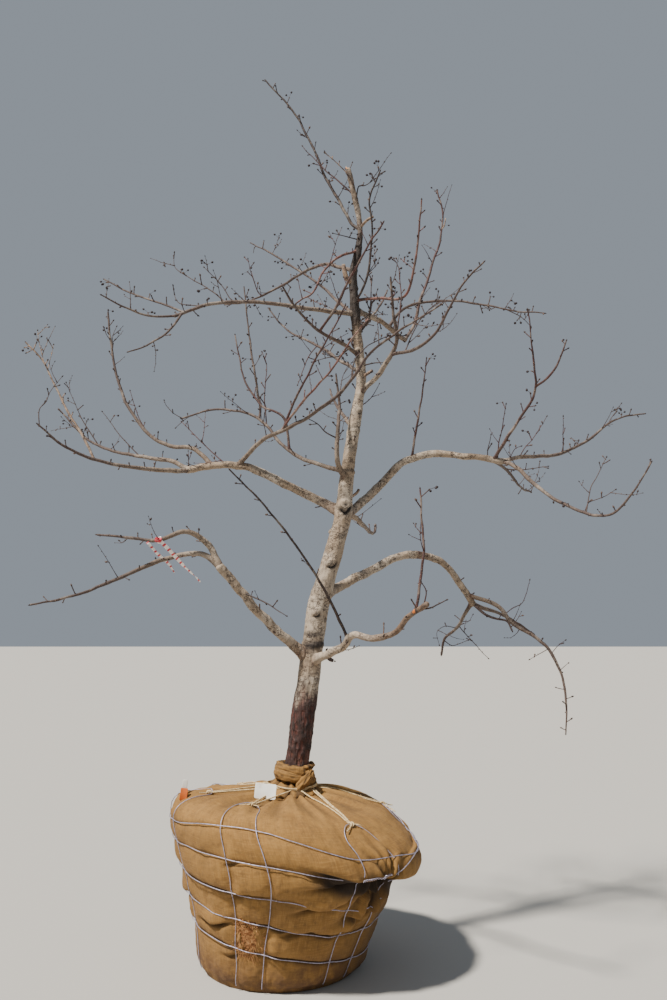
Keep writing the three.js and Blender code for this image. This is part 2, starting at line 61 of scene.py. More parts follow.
# Which limb grows on which, parents first
GROWS_ON = {
    "trunk": [
        "lower_left_bough", "lower_right_bough", "arch_rise", "lower_back_bough", "second_left_bough",
        "side_stem", "middle_back_bough", "second_right_bough", "upper_right_bough", "hooked_bough",
        "salmon_shoot", "upper_back_bough", "right_whip", "fourth_left_bough", "fifth_left_bough",
        "drooping_shoot", "upper_left_back_bough", "sixth_left_bough", "seventh_left_bough",
        "leading_shoot",
    ],
    "lower_left_bough": ["lower_left_upper_fork", "lower_left_lower_fork"],
    "lower_right_bough": ["lower_right_shoot", "front_whip"],
    "arch_rise": ["arch_fall"],
    "arch_fall": ["arch_weeping_end", "arch_short_limb", "arch_drop_limb"],
    "second_left_bough": [
        "second_left_upper_fork", "second_left_lower_fork", "upswept_left_limb", "crossing_limb",
    ],
    "second_left_lower_fork": ["pale_left_shoot"],
    "crossing_limb": ["crossing_fork_long", "crossing_fork_short"],
    "side_stem": ["third_left_bough"],
    "third_left_bough": ["third_left_outer_shoot", "third_left_inner_shoot"],
    "second_right_bough": [
        "right_upright_shoot", "right_straight_fork", "right_upper_fork", "right_front_fork",
        "right_back_fork",
    ],
    "right_upper_fork": ["right_upper_side_shoot"],
    "upper_right_bough": ["upper_right_outer_fork"],
    "hooked_bough": ["hooked_bough_upright", "right_level_bough"],
    "fourth_left_bough": [
        "fourth_left_outer_fork", "fourth_left_lower_fork", "fourth_left_upper_fork",
    ],
    "sixth_left_bough": ["front_upright_shoot"],
}

# The colour of a limb's young wood, where it isn't grey
YOUNG_KIND = {
    "pale_left_shoot": "pale",
    "drooping_shoot": "salmon",
    "salmon_shoot": "salmon",
    "lower_right_shoot": "red",
    "lower_right_bough": "tan",
    "front_whip": "dark",
    "right_upright_shoot": "red",
    "right_upper_fork": "red",
    "right_upper_side_shoot": "red",
    "crossing_fork_long": "salmon",
    "crossing_fork_short": "red",
    "third_left_outer_shoot": "red",
    "front_upright_shoot": "red",
    "hooked_bough_upright": "red",
    "right_whip": "dark",
    "leading_shoot": "dark",
}

# Limbs whose bark turns young: the share along where it starts to, and where it has
YOUNG_FROM = {"lower_right_bough": (0.38, 0.62)}
# Fresh wounds in a limb's bark: the share along, the bearing in degrees and the half width in metres
WOUNDS = {"lower_right_bough": [(0.89, -110, 0.011)]}

# Shoots thinner than the limbs: what each grows on and how far along, its kind, its foot and tip
# diameters in mm, and its runs as a length in mm, a bearing and a rise in degrees
SHOOTS = [
    ("lower_left_bough", 0.76, "dark", 7, 3, [(125, 335, -20), (65, 330, -30), (45, 330, -25)]),
    ("lower_right_bough", 0.95, "cut", 17, 14, [(30, 315, 20)]),
    ("lower_right_bough", 0.15, "dark", 22, 13, [(24, 340, -50), (14, 350, -20)]),
    ("lower_right_bough", 0.93, "dark", 7, 4, [(45, 330, 5), (35, 325, 25), (35, 325, 25)]),
    ("lower_right_bough", 0.97, "red", 6, 3, [(55, 310, 75), (40, 205, 60)]),
    ("arch_weeping_end", 0.54, "red", 4, 2, [(55, 155, -30), (45, 150, -30)]),
    ("arch_weeping_end", 0.57, "red", 4, 2, [(55, 315, 45), (40, 320, 35)]),
    ("arch_weeping_end", 0.67, "red", 4, 2, [(60, 305, 35)]),
    ("arch_fall", 1, "grey", 14, 8,
     [(65, 330, -40), (45, 330, -25), (35, 335, -15), (45, 335, -15), (50, 310, -55)]),
    ("arch_drop_limb", 0.78, "dark", 5, 2.5, [(55, 35, -30), (30, 30, 5), (75, 30, 15)]),
    ("arch_drop_limb", 0.43, "dark", 5, 2.5, [(50, 35, -45), (75, 35, -40), (65, 30, -40), (60, 35, -40)]),
    ("arch_drop_limb", 0.34, "dark", 4, 2, [(40, 20, 0), (40, 35, 45)]),
    ("arch_drop_limb", 0.49, "dark", 4, 2, [(60, 195, 10), (50, 195, -35), (60, 300, -75)]),
    ("arch_short_limb", 0.51, "red", 5, 2.5, [(65, 10, 35), (55, 10, 30), (80, 25, 65), (35, 30, 70)]),
    ("pale_left_shoot", 0.8, "pale", 4, 2, [(90, 140, 65), (80, 130, 70)]),
    ("pale_left_shoot", 0.74, "pale", 4, 2, [(70, 85, 65), (70, 85, 65)]),
    ("pale_left_shoot", 0.84, "pale", 4, 2, [(45, 230, 40), (25, 215, 10)]),
    ("second_left_upper_fork", 0.34, "grey", 6, 2.5,
     [(45, 165, 45), (100, 165, 45), (90, 160, 50), (65, 165, 50)]),
    ("second_left_upper_fork", 0.64, "grey", 6, 2.5, [(135, 170, 55), (80, 165, 60), (150, 165, 65)]),
    ("second_left_lower_fork", 0.99, "grey", 5, 2.5,
     [(70, 110, 80), (45, 20, 55), (50, 30, 70), (80, 15, 55)]),
    ("upswept_left_limb", 0.83, "grey", 4, 2.5, [(65, 75, 80), (45, 35, 70)]),
    ("upswept_left_limb", 0.86, "grey", 4, 2.5, [(40, 210, 55), (30, 225, 65)]),
    ("upswept_left_limb", 0.59, "grey", 4, 2.5, [(45, 45, -50), (25, 35, 40)]),
    ("upswept_left_limb", 0.36, "red", 5, 2.5, [(95, 155, 55), (80, 145, 65), (70, 145, 65)]),
    ("second_left_bough", 0.75, "pink", 6, 3, [(35, 170, 30), (90, 170, 40), (90, 165, 45), (90, 165, 45)]),
    ("side_stem", 0.42, "dark", 7, 3, [(60, 200, 25), (50, 205, 40), (65, 200, 25)]),
    ("third_left_bough", 1, "dark", 4, 2.5, [(60, 165, 30), (45, 160, 45), (30, 150, 65)]),
    ("third_left_bough", 0.95, "dark", 4, 2.5, [(45, 205, -35), (50, 205, -45)]),
    ("third_left_bough", 0.51, "red", 6, 3,
     [(55, 110, 75), (70, 110, 75), (75, 95, 75), (75, 80, 75), (45, 95, 75), (60, 140, 65)]),
    ("right_straight_fork", 0.76, "grey", 5, 2.5, [(35, 30, 55), (30, 25, 45), (70, 30, 50)]),
    ("right_straight_fork", 0.4, "red", 5, 2.5, [(65, 255, 80), (100, 270, 80)]),
    ("second_right_bough", 0.95, "red", 6, 3, [(75, 295, 80), (65, 315, 75), (110, 305, 75)]),
    ("second_right_bough", 0.9, "dark", 5, 3, [(45, 70, 75), (70, 45, 70)]),
    ("right_straight_fork", 0.11, "red", 5, 2.5, [(55, 20, 55), (50, 15, 45), (95, 20, 55), (40, 20, 55)]),
    ("right_straight_fork", 0.04, "red", 4, 2.5, [(55, 25, 60), (35, 15, 25)]),
    ("right_front_fork", 0.57, "grey", 5, 2.5, [(40, 25, 60), (20, 15, 35), (65, 15, 20), (55, 15, 30)]),
    ("right_front_fork", 0.58, "grey", 5, 2.5,
     [(55, 40, 70), (60, 40, 70), (50, 25, 55), (60, 25, 60), (40, 25, 55)]),
    ("right_back_fork", 0.29, "grey", 6, 3, [(65, 20, 0), (70, 20, 5), (90, 20, 10)]),
    ("hooked_bough_upright", 0.75, "cut", 6, 5, [(30, 0, 60), (35, 0, 80)]),
    ("upper_right_bough", 0.6, "red", 7, 3,
     [(45, 50, 75), (65, 55, 75), (65, 70, 75), (95, 105, 75), (50, 105, 75), (45, 150, 65)]),
    ("salmon_shoot", 0.54, "salmon", 4, 2.5, [(30, 85, 75), (35, 155, 45), (35, 155, 45)]),
    ("right_level_bough", 0.78, "grey", 5, 2.5, [(75, 30, -15), (85, 35, -25)]),
    ("upper_right_outer_fork", 0.12, "grey", 6, 3,
     [(90, 35, 60), (95, 35, 60), (100, 25, 45), (70, 15, 15)]),
    ("crossing_limb", 0.6, "dark", 6, 3,
     [(95, 55, 70), (55, 30, 50), (40, 25, 45), (50, 20, 30), (45, 20, 25), (40, 20, 10), (55, 20, 5)]),
    ("trunk", 0.67, "dark", 8, 4, [(55, 320, 5), (75, 320, -5)]),
    ("fourth_left_bough", 0.85, "grey", 5, 2.5,
     [(35, 165, 5), (65, 165, 10), (40, 155, 50), (40, 135, 70)]),
    ("fourth_left_bough", 0.73, "grey", 6, 2.5,
     [(70, 160, 40), (65, 160, 35), (80, 160, 35), (85, 160, 35), (60, 120, 70)]),
    ("fourth_left_bough", 0.68, "grey", 5, 2.5,
     [(30, 165, 40), (50, 160, 60), (50, 165, 50), (65, 165, 45), (20, 165, 45)]),
    ("fifth_left_bough", 0.74, "pink", 6, 2.5,
     [(25, 205, 35), (45, 220, 60), (55, 225, 65), (60, 235, 70)]),
    ("sixth_left_bough", 0.15, "dark", 7, 3, [(60, 140, -25), (60, 145, 0), (90, 145, -5)]),
    ("seventh_left_bough", 0.44, "red", 6, 3,
     [(60, 215, -50), (65, 230, -55), (60, 245, -60), (60, 235, -60)]),
    ("trunk", 0.95, "red", 8, 3,
     [(40, 160, 55), (60, 160, 45), (45, 160, 45), (50, 165, 40), (50, 160, 50), (50, 160, 50),
      (40, 165, 45), (40, 160, 55)]),
    ("trunk", 0.99, "pale", 6, 3, [(25, 195, 30), (60, 195, 40), (55, 195, 35)]),
    ("trunk", 0.88, "dark", 7, 3, [(20, 205, 0), (55, 215, 0), (65, 215, 0)]),
    ("trunk", 0.69, "grey", 9, 4,
     [(65, 165, 55), (65, 15, 50), (60, 15, 55), (55, 40, 75), (90, 70, 80), (80, 65, 80)]),
    ("trunk", 0.94, "dark", 6, 3, [(90, 75, 75), (35, 15, 20), (40, 20, 35), (65, 20, 40)]),
    ("trunk", 0.74, "dark", 6, 3, [(45, 345, 30), (35, 340, 40), (35, 310, 70), (65, 320, 65)]),
    ("right_whip", 0.25, "grey", 4, 2.5, [(65, 25, 60), (60, 85, 75)]),
    ("right_whip", 0.25, "dark", 4, 2.5, [(50, 0, 45), (35, 0, 65)]),
    ("trunk", 0.65, "cut", 15, 14, [(35, 315, 25), (35, 320, 20)]),
    ("trunk", 0.9, "cut", 14, 12, [(40, 325, 35), (40, 325, 20)]),
    ("trunk", 0.45, "cut", 13, 12, [(65, 20, 35), (25, 35, 50)]),
    ("trunk", 0.803, "cut", 25, 17, [(42, 205, 38), (38, 195, 74), (22, 170, 80)]),
]

# Knots and old cuts on the trunk: height, bearing in degrees, half width and how far they stand out,
# in metres
TRUNK_KNOTS = [
    (1.255, -70, 0.016, 0.006),
    (1.433, -92, 0.018, 0.008),
    (1.645, -88, 0.024, 0.011),
    (1.893, -84, 0.034, 0.014),
    (1.52, 60, 0.022, 0.009),
    (1.78, 150, 0.02, 0.008),
    (2.12, 110, 0.022, 0.009),
    (2.31, -60, 0.017, 0.007),
    (2.58, -130, 0.015, 0.006),
    (2.86, 40, 0.013, 0.006),
]
# Ring ridges round the trunk: height and how far they stand out, in metres
TRUNK_RIDGES = [(1.3, 0.003), (2.035, 0.004), (2.22, 0.0025), (2.53, 0.003), (2.93, 0.0025)]
# How high the trunk's dark, scaly foot bark reaches; the rough band's height and half width, rough bark with
# painted shade
FOOT_BARK_TOP = 1.075
ROUGH_BAND = (1.305, 0.04)
# Between which heights the trunk's upper part is painted dark: painted shade, over bark that is darker there
# too
SHADED_FROM, SHADED_TO = (2.5, 2.75), (3.08, 3.2)

# Above these mean radii a limb has knots, and rough bark at its foot
KNOTTED_LIMB, ROUGH_LIMB = 0.009, 0.014

# How fine the meshes are
THICK_LIMB = 0.0125
MIDDLE_LIMB = 0.0075
RING_STEP, SHOOT_STEP = 0.006, 0.008
TIP_RING_REACH = 0.05
RING_WELD = 1e-5
DOME_TURNS = (0.35, 0.8, 1.2)

UP = np.array([0.0, 0.0, 1.0])
FIFTHS = math.radians(144)


# Small helpers


def smoothstep(value, low, high):
    """0 below low, 1 above high, and a soft rise between."""
    share = np.clip((value - low) / (high - low), 0, 1)
    return share * share * (3 - 2 * share)


def hill(distance, reach):
    """1 at no distance, and a soft fall over about reach."""
    return np.exp(-((distance / reach) ** 2))


@np.errstate(over="ignore")
def soft_noise(places, scale, seed):
    """Smooth noise between -1 and 1 at each place."""
    spot = np.asarray(places, float) * scale
    cell = np.floor(spot).astype(np.int64)
    share = spot - cell
    share = share * share * (3 - 2 * share)

    def corner(x, y, z):
        mixed = ((cell[..., 0] + x) * 73856093) ^ ((cell[..., 1] + y) * 19349663)
        mixed = mixed ^ ((cell[..., 2] + z) * 83492791) ^ (seed * 2654435761)
        mixed = (mixed ^ (mixed >> 13)) * 1274126177
        mixed = (mixed ^ (mixed >> 16)) & 0x7FFFFFFF
        return mixed / 0x3FFFFFFF - 1

    def blend(a, b, axis):
        return a + (b - a) * share[..., axis]

    low = blend(blend(corner(0, 0, 0), corner(1, 0, 0), 0), blend(corner(0, 1, 0), corner(1, 1, 0), 0), 1)
    high = blend(blend(corner(0, 0, 1), corner(1, 0, 1), 0), blend(corner(0, 1, 1), corner(1, 1, 1), 0), 1)
    return blend(low, high, 2)


def rough_noise(places, scale, seed, octaves=3):
    """Noise with finer and finer detail."""
    scale = np.asarray(scale, float)
    return sum(soft_noise(places, scale * 2**k, seed + k) * 0.5**k for k in range(octaves))


def unit(vector):
    vector = np.asarray(vector, float)
    return vector / max(np.linalg.norm(vector), 1e-12)


def unit_rows(vectors):
    return vectors / np.maximum(np.linalg.norm(vectors, axis=1), 1e-12)[:, None]


def direction_of(bearing, rise):
    """A direction from a bearing and a rise over the level, in degrees."""
    turn, lift = math.radians(bearing), math.radians(rise)
    return np.array([math.cos(turn) * math.cos(lift), math.sin(turn) * math.cos(lift), math.sin(lift)])


def frames_along(points):
    """The way along a line and two ways across it, turned as little as can be."""
    along = np.gradient(points, axis=0)
    along /= np.linalg.norm(along, axis=1)[:, None]
    side = np.cross(along[0], UP if abs(along[0][2]) < 0.9 else np.array([0.0, 1.0, 0.0]))
    sides = []
    for way in along:
        side = unit(side - way * (side @ way))
        sides.append(side)
    sides = np.array(sides)
    return along, sides, np.cross(along, sides)


def between(a, b, c, d, t):
    """A smooth curve from b to c, given the points before and after."""
    return 0.5 * (2 * b + (c - a) * t + (2 * a - 5 * b + 4 * c - d) * t**2 + (3 * b - a - 3 * c + d) * t**3)


def gone_along(points):
    """The length gone at each point of a line, or at each ring of a tube."""
    steps = np.linalg.norm(np.diff(points, axis=0), axis=-1)
    return np.concatenate([[0], np.cumsum(steps if steps.ndim == 1 else steps.mean(axis=1))])


def round_turns(count):
    """The angles of a ring's corners."""
    return np.arange(count) * 2 * math.pi / count


def round_about(middle, reach, turn, height):
    """Points at a reach from a middle, at angles and heights."""
    return np.column_stack([middle[0] + reach * np.cos(turn), middle[1] + reach * np.sin(turn), height])


def stray(r, side, low=0.0, high=0.0):
    """A random shift, as much as side to each side and from low to high upwards."""
    level = [r.uniform(-side, side), r.uniform(-side, side)]
    return np.array([*level, r.uniform(low, high) if high > low else 0.0])


class Line:
    """A limb's centre line, evenly spaced, with its radius at each point."""

    def __init__(self, points, radii, step):
        knots = np.column_stack([points, radii])
        ends = np.vstack([2 * knots[0] - knots[1], knots, 2 * knots[-1] - knots[-2]])
        t = np.linspace(0, 1, 16, endpoint=False)[:, None]
        fine = [between(*corners, t) for corners in zip(ends, ends[1:], ends[2:], ends[3:])]
        fine = np.vstack([*fine, knots[-1:]])
        gone = gone_along(fine[:, :3])
        count = max(3, round(gone[-1] / step) + 1)
        self.places = np.linspace(0, gone[-1], count)
        even = np.column_stack([np.interp(self.places, gone, column) for column in fine.T])
        self.points, self.radii = even[:, :3], even[:, 3]
        self.length = gone[-1]

    def at(self, place):
        """The point, the way along and the radius at a length from the foot."""
        behind, point, ahead = (
            np.array([np.interp(place + shift, self.places, column) for column in self.points.T])
            for shift in (-0.008, 0.0, 0.008)
        )
        return point, unit(ahead - behind), float(np.interp(place, self.places, self.radii))

    def nearest(self, point):
        """The point of the line that is nearest."""
        return self.points[np.argmin(np.linalg.norm(self.points - point, axis=1))]

    def radius_near(self, point):
        """The radius where the line is nearest to a point."""
        return self.at(self.places[np.argmin(np.linalg.norm(self.points - point, axis=1))])[2]

    def wander(self, seed, amount):
        """Lets the line stray a little to each side, as wood does, between its two ends."""
        _, sides, others = frames_along(self.points)
        window = smoothstep(self.places, 0, 0.08) * smoothstep(self.length - self.places, 0, 0.05)
        spots = np.column_stack([self.places, self.places * 0, self.places * 0])
        reach = (self.radii * 0.1 + 0.0026) * amount * window
        for across, shift in ((sides, 0), (others, 50)):
            bend = soft_noise(spots + shift, 9.0, seed) + 0.55 * soft_noise(spots + shift, 22.0, seed + 7)
            self.points = self.points + across * (bend * reach)[:, None]


# Reading the plain limbs of the frame


def welded(name):
    """A plain solid's corners, merged by place, and which of them an edge joins."""
    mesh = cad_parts[name].data
    places = np.zeros(len(mesh.vertices) * 3)
    mesh.vertices.foreach_get("co", places)
    places = places.reshape(-1, 3)
    _, first, which = np.unique(
        np.round(places / RING_WELD).astype(np.int64), axis=0, return_index=True, return_inverse=True
    )
    which = which.ravel()
    joined = [set() for _ in first]
    for edge in mesh.edges:
        a, b = (int(which[v]) for v in edge.vertices)
        if a != b:
            joined[a].add(b)
            joined[b].add(a)
    return places[first], joined


def farthest(places, joined, start):
    """The corner that is farthest from start, going along the edges."""
    gone = {start: 0.0}
    queue = [(0.0, start)]
    while queue:
        here, corner = heapq.heappop(queue)
        if here > gone[corner]:
            continue
        for other in joined[corner]:
            reach = here + float(np.linalg.norm(places[other] - places[corner]))
            if reach < gone.get(other, math.inf):
                gone[other] = reach
                heapq.heappush(queue, (reach, other))
    return max(gone, key=gone.get)


def rings_from(ring, joined):
    """The rings of corners one edge further on from the first, while they stay whole."""
    seen, rings = set(ring), [sorted(ring)]
    while True:
        onward = {other for corner in rings[-1] for other in joined[corner]} - seen
        if len(onward) != len(ring):
            return rings
        seen |= onward
        rings.append(sorted(onward))


def ring_sizes(places, rings):
    """The middle and the radius of each ring of corners."""
    centres = [places[ring].mean(axis=0) for ring in rings]
    gaps = [np.linalg.norm(places[ring] - centre, axis=1) for ring, centre in zip(rings, centres)]
    return centres, [float(gap.mean()) for gap in gaps]


def limb_line(name, parent):
    """A limb's centre line, read from its plain solid and led back to the middle of its parent."""
    places, joined = welded(name)
    gaps = np.linalg.norm(places[:, None] - parent.points[None, ::4], axis=2).min(axis=1)
    tip = places[farthest(places, joined, int(np.argmin(gaps)))]
    ring = {i for i, place in enumerate(places) if np.linalg.norm(place - tip) < TIP_RING_REACH}
    centres, radii = ring_sizes(places, rings_from(ring, joined)[::-1])
    back = centres[0] - centres[1]
    reach = np.linalg.norm(centres[0] - parent.nearest(centres[0]))
    root = parent.nearest(centres[0] + unit(back) * reach)
    if np.linalg.norm(root - centres[0]) < 0.35 * np.linalg.norm(back) and len(centres) > 3:
        centres, radii = centres[1:], radii[1:]
    return Line([root, *centres], [radii[0], *radii], RING_STEP)


def trunk_line():
    """The trunk's centre line, read from its level rings."""
    places, joined = welded("trunk")
    foot = {i for i, place in enumerate(places) if place[2] < places[:, 2].min() + 1e-3}
    return Line(*ring_sizes(places, rings_from(foot, joined)), RING_STEP)


@cache
def tree_lines():
    """The centre lines of the trunk and of every limb, by name. A limb's is a little crooked."""
    lines = {"trunk": trunk_line()}
    for parent, children in GROWS_ON.items():
        for name in children:
            line = limb_line(name, lines[parent])
            line.wander(len(lines) * 13, 1.0)
            lines[name] = line
    return lines


@cache
def tree_shoots():
    """The centre line of each listed shoot, with its kind and its parent."""
    made = []
    for number, (parent, share, kind, foot, tip, runs) in enumerate(SHOOTS):
        on = tree_lines()[parent]
        points = [on.at(share * on.length)[0]]
        for length, bearing, rise in runs:
            points.append(points[-1] + direction_of(bearing, rise) * length * 0.001)
        radii = np.interp(np.linspace(0, 1, len(points)), [0, 1], [foot / 2000, tip / 2000])
        line = Line(points, radii, SHOOT_STEP)
        line.wander(400 + number, 0.8)
        made.append((line, kind, parent))
    return made


def children_of(parent):
    """Where each limb and shoot leaves its parent's bark, which way it goes, and how thick it is."""
    grown = [tree_lines()[name] for name in GROWS_ON.get(parent, [])]
    grown += [line for line, _, limb in tree_shoots() if limb == parent]
    found = []
    for line in grown:
        way = unit(line.points[3] - line.points[0])
        wide = tree_lines()[parent].radius_near(line.points[0])
        found.append((line.points[0] + way * wide, way, float(line.radii[0])))
    return found


# Finishes


def paint(red, green, blue):
    """A colour as it shows on a screen, 0 to 255, as the three values of light."""
    shares = [value / 255 for value in (red, green, blue)]
    return tuple(s / 12.92 if s <= 0.04045 else ((s + 0.055) / 1.055) ** 2.4 for s in shares)


class Signal:
    """A socket of a finish that takes part in Python's arithmetic."""

    def __init__(self, finish, socket):
        self.finish = finish
        self.socket = socket

    def _with(self, operation, first, second):
        return self.finish.node("ShaderNodeMath", {"operation": operation}, {0: first, 1: second})

    def __add__(self, other):
        return self._with("ADD", self, other)

    def __radd__(self, other):
        return self._with("ADD", other, self)

    def __sub__(self, other):
        return self._with("SUBTRACT", self, other)

    def __rsub__(self, other):
        return self._with("SUBTRACT", other, self)

    def __mul__(self, other):
        return self._with("MULTIPLY", self, other)

    def __rmul__(self, other):
        return self._with("MULTIPLY", other, self)


class Finish:
    """A material that is being made, with one method for its nodes."""

    def __init__(self, name, metallic=0.0, shine=0.5):
        self.material = bpy.data.materials.new(name)
        self.material.use_nodes = True
        self.tree = self.material.node_tree
        self.shader = self.tree.nodes["Principled BSDF"]
        self.set("Metallic", metallic)
        self.set("Specular IOR Level", shine)

    def fill(self, socket, value):
        if isinstance(value, Signal):
            self.tree.links.new(value.socket, socket)
        elif socket.type == "RGBA":
            socket.default_value = (*value, 1.0)
        else:
            socket.default_value = value

    def set(self, socket, value):
        self.fill(self.shader.inputs[socket], value)

    def node(self, kind, settings, sockets, output=0):
        """Adds a node, sets it up, fills its sockets and gives one of its outputs."""
        node = self.tree.nodes.new(kind)
        for name, value in settings.items():
            setattr(node, name, value)
        for name, value in sockets.items():
            self.fill(node.inputs[name], value)
        return Signal(self, node.outputs[output])

    def place(self):
        return self.node("ShaderNodeTexCoord", {}, {}, 3)

    def skin(self):
        """Places on the piece's own surface, in metres round it and along it."""
        return self.node("ShaderNodeUVMap", {"uv_map": "skin"}, {})

    def mark(self, name):
        """A value that the piece carries at each point."""
        return self.node("ShaderNodeAttribute", {"attribute_name": name}, {}, 2)

    def scaled(self, vector, scale):
        return self.node("ShaderNodeVectorMath", {"operation": "MULTIPLY"}, {0: vector, 1: scale})

    def noise(self, vector, scale, detail=3.0, roughness=0.55):
        sockets = {"Vector": vector, "Scale": scale, "Detail": detail, "Roughness": roughness}
        return self.node("ShaderNodeTexNoise", {}, sockets)

    def cells(self, vector, scale):
        """The distance to the nearest of many scattered points."""
        return self.node("ShaderNodeTexVoronoi", {}, {"Vector": vector, "Scale": scale})

    def waves(self, vector, scale, direction, distortion=0.0):
        settings = {"wave_type": "BANDS", "bands_direction": direction}
        sockets = {"Vector": vector, "Scale": scale, "Distortion": distortion}
        return self.node("ShaderNodeTexWave", settings, sockets, 1)

    def span(self, value, low, high):
        """0 where value is low, 1 where it is high, and a soft rise between."""
        sockets = {"Value": value, "From Min": low, "From Max": high}
        return self.node("ShaderNodeMapRange", {"interpolation_type": "SMOOTHSTEP"}, sockets)

    def mix(self, share, first, second):
        """One colour turning into another."""
        settings = {"data_type": "RGBA", "clamp_factor": True}
        return self.node("ShaderNodeMix", settings, {0: share, 6: first, 7: second}, 2)

    def layers(self, colour, over):
        """A colour with others laid over it in turn, each with its share."""
        for share, other in over:
            colour = self.mix(share, colour, other)
        return colour

    def bump(self, height, distance, strength=1.0, below=None):
        sockets = {"Height": height, "Distance": distance, "Strength": strength}
        if below is not None:
            sockets["Normal"] = below
        return self.node("ShaderNodeBump", {}, sockets)


YOUNG_COLOURS = {
    "grey": paint(76, 60, 54),
    "red": paint(70, 38, 36),
    "pale": paint(154, 130, 110),
    "salmon": paint(112, 70, 62),
    "dark": paint(42, 31, 29),
    "pink": paint(102, 66, 62),
    "tan": paint(104, 78, 58),
    "cut": paint(150, 126, 104),
}
BUD_COLOURS = {"brown": paint(38, 25, 23), "grey_brown": paint(84, 64, 54)}
CUT_WOOD = paint(214, 186, 140)
DEEP_SHADE = paint(38, 27, 24)


def bark_finish(kind, look):
    """Grey and tan old bark that turns into the colour of young wood where the limb is thin."""
    f = Finish("bark_" + kind)
    place, skin = f.place(), f.skin()
    age, rough_and_shade, scar_and_shade, wood = (f.mark(name) for name in ("age", "rough_and_shade", "scar_and_shade", "wood"))
    patches = f.noise(place, 7.0, 4.0)
    tints = f.noise(place, 16.0, 3.0)
    mottle = f.noise(f.scaled(place, (1.0, 1.0, 0.45)), 60.0, 4.0, 0.65)
    grain = f.noise(f.scaled(skin, (150.0, 60.0, 1.0)), 1.0, 4.0, 0.6)
    veins = f.noise(f.scaled(place, (1.0, 1.0, 1.7)), 36.0, 5.0, 0.6) - 0.5
    cracks = (1.0 - f.span(veins * veins, 0.0, 0.0009)) * f.span(tints + 0.4 * mottle, 0.6, 0.78)
    specks = 1.0 - f.span(f.cells(f.scaled(skin, (90.0, 210.0, 1.0)), 1.0), 0.1, 0.24)
    lenticels = 1.0 - f.span(f.cells(f.scaled(skin, (75.0, 150.0, 1.0)), 1.0), 0.16, 0.3)
    furrows = f.span(f.cells(f.scaled(place, (1.0, 1.0, 0.4)), 62.0), 0.3, 0.62)
    streaks = f.noise(f.scaled(place, (1.0, 1.0, 0.3)), 130.0, 4.0, 0.7)
    flaked = f.span(1.2 * rough_and_shade + 0.7 * (streaks - 0.5) + 0.6 * (mottle - 0.5), 0.15, 1.0)
    old = f.layers(f.mix(f.span(patches, 0.38, 0.62), look.old_bark, look.warm_bark), [
        (f.span(tints, 0.55, 0.72) * 0.45, look.pale_bark),
        (f.span(mottle, 0.5, 0.7) * 0.6, paint(92, 74, 62)),
        (cracks * 0.8, paint(58, 44, 37)),
        (specks * f.span(tints, 0.42, 0.58) * 0.75, paint(66, 50, 42)),
    ])
    young = f.layers(YOUNG_COLOURS[kind], [
        (f.span(mottle, 0.35, 0.7), paint(66, 52, 47)),
        (f.span(tints, 0.5, 0.7) * 0.22, look.pale_bark),
    ])
    foot = f.layers(look.foot_bark, [
        (f.span(mottle, 0.4, 0.65), paint(50, 31, 27)),
        (f.span(patches + 0.3 * tints, 0.62, 0.8) * 0.5, paint(120, 78, 58)),
    ])
    bare = f.mix(f.span(f.noise(place, 160.0, 3.0), 0.35, 0.65), CUT_WOOD, paint(170, 134, 96))
    bare = f.mix(f.span(wood, 0.55, 0.8), paint(206, 112, 40), bare)
    f.set("Base Color", f.layers(f.mix(age, young, old), [
        (lenticels * 0.32, paint(176, 150, 122)),
        # Rough reddish bark, and painted shade where the rough mark takes the crotches and the trunk's upper
        # part
        (flaked * f.span(rough_and_shade, 0.02, 0.3), foot),
        (rough_and_shade * furrows * 0.7, DEEP_SHADE),
        # Near-black scars, knot pits and cracks, with painted shade at forks, under knots, in the rough band
        # and on the upper trunk
        (scar_and_shade, paint(30, 22, 19)),
        (f.span(wood, 0.2, 0.42), bare),
    ]))
    f.set("Roughness", 0.62 + 0.3 * mottle)
    fine = f.bump(grain + 0.8 * lenticels, 0.0012, 0.7)
    f.set("Normal", f.bump((furrows + mottle) * (0.3 + rough_and_shade) - 0.5 * cracks * age, 0.004, 0.9, fine))
    return f.material


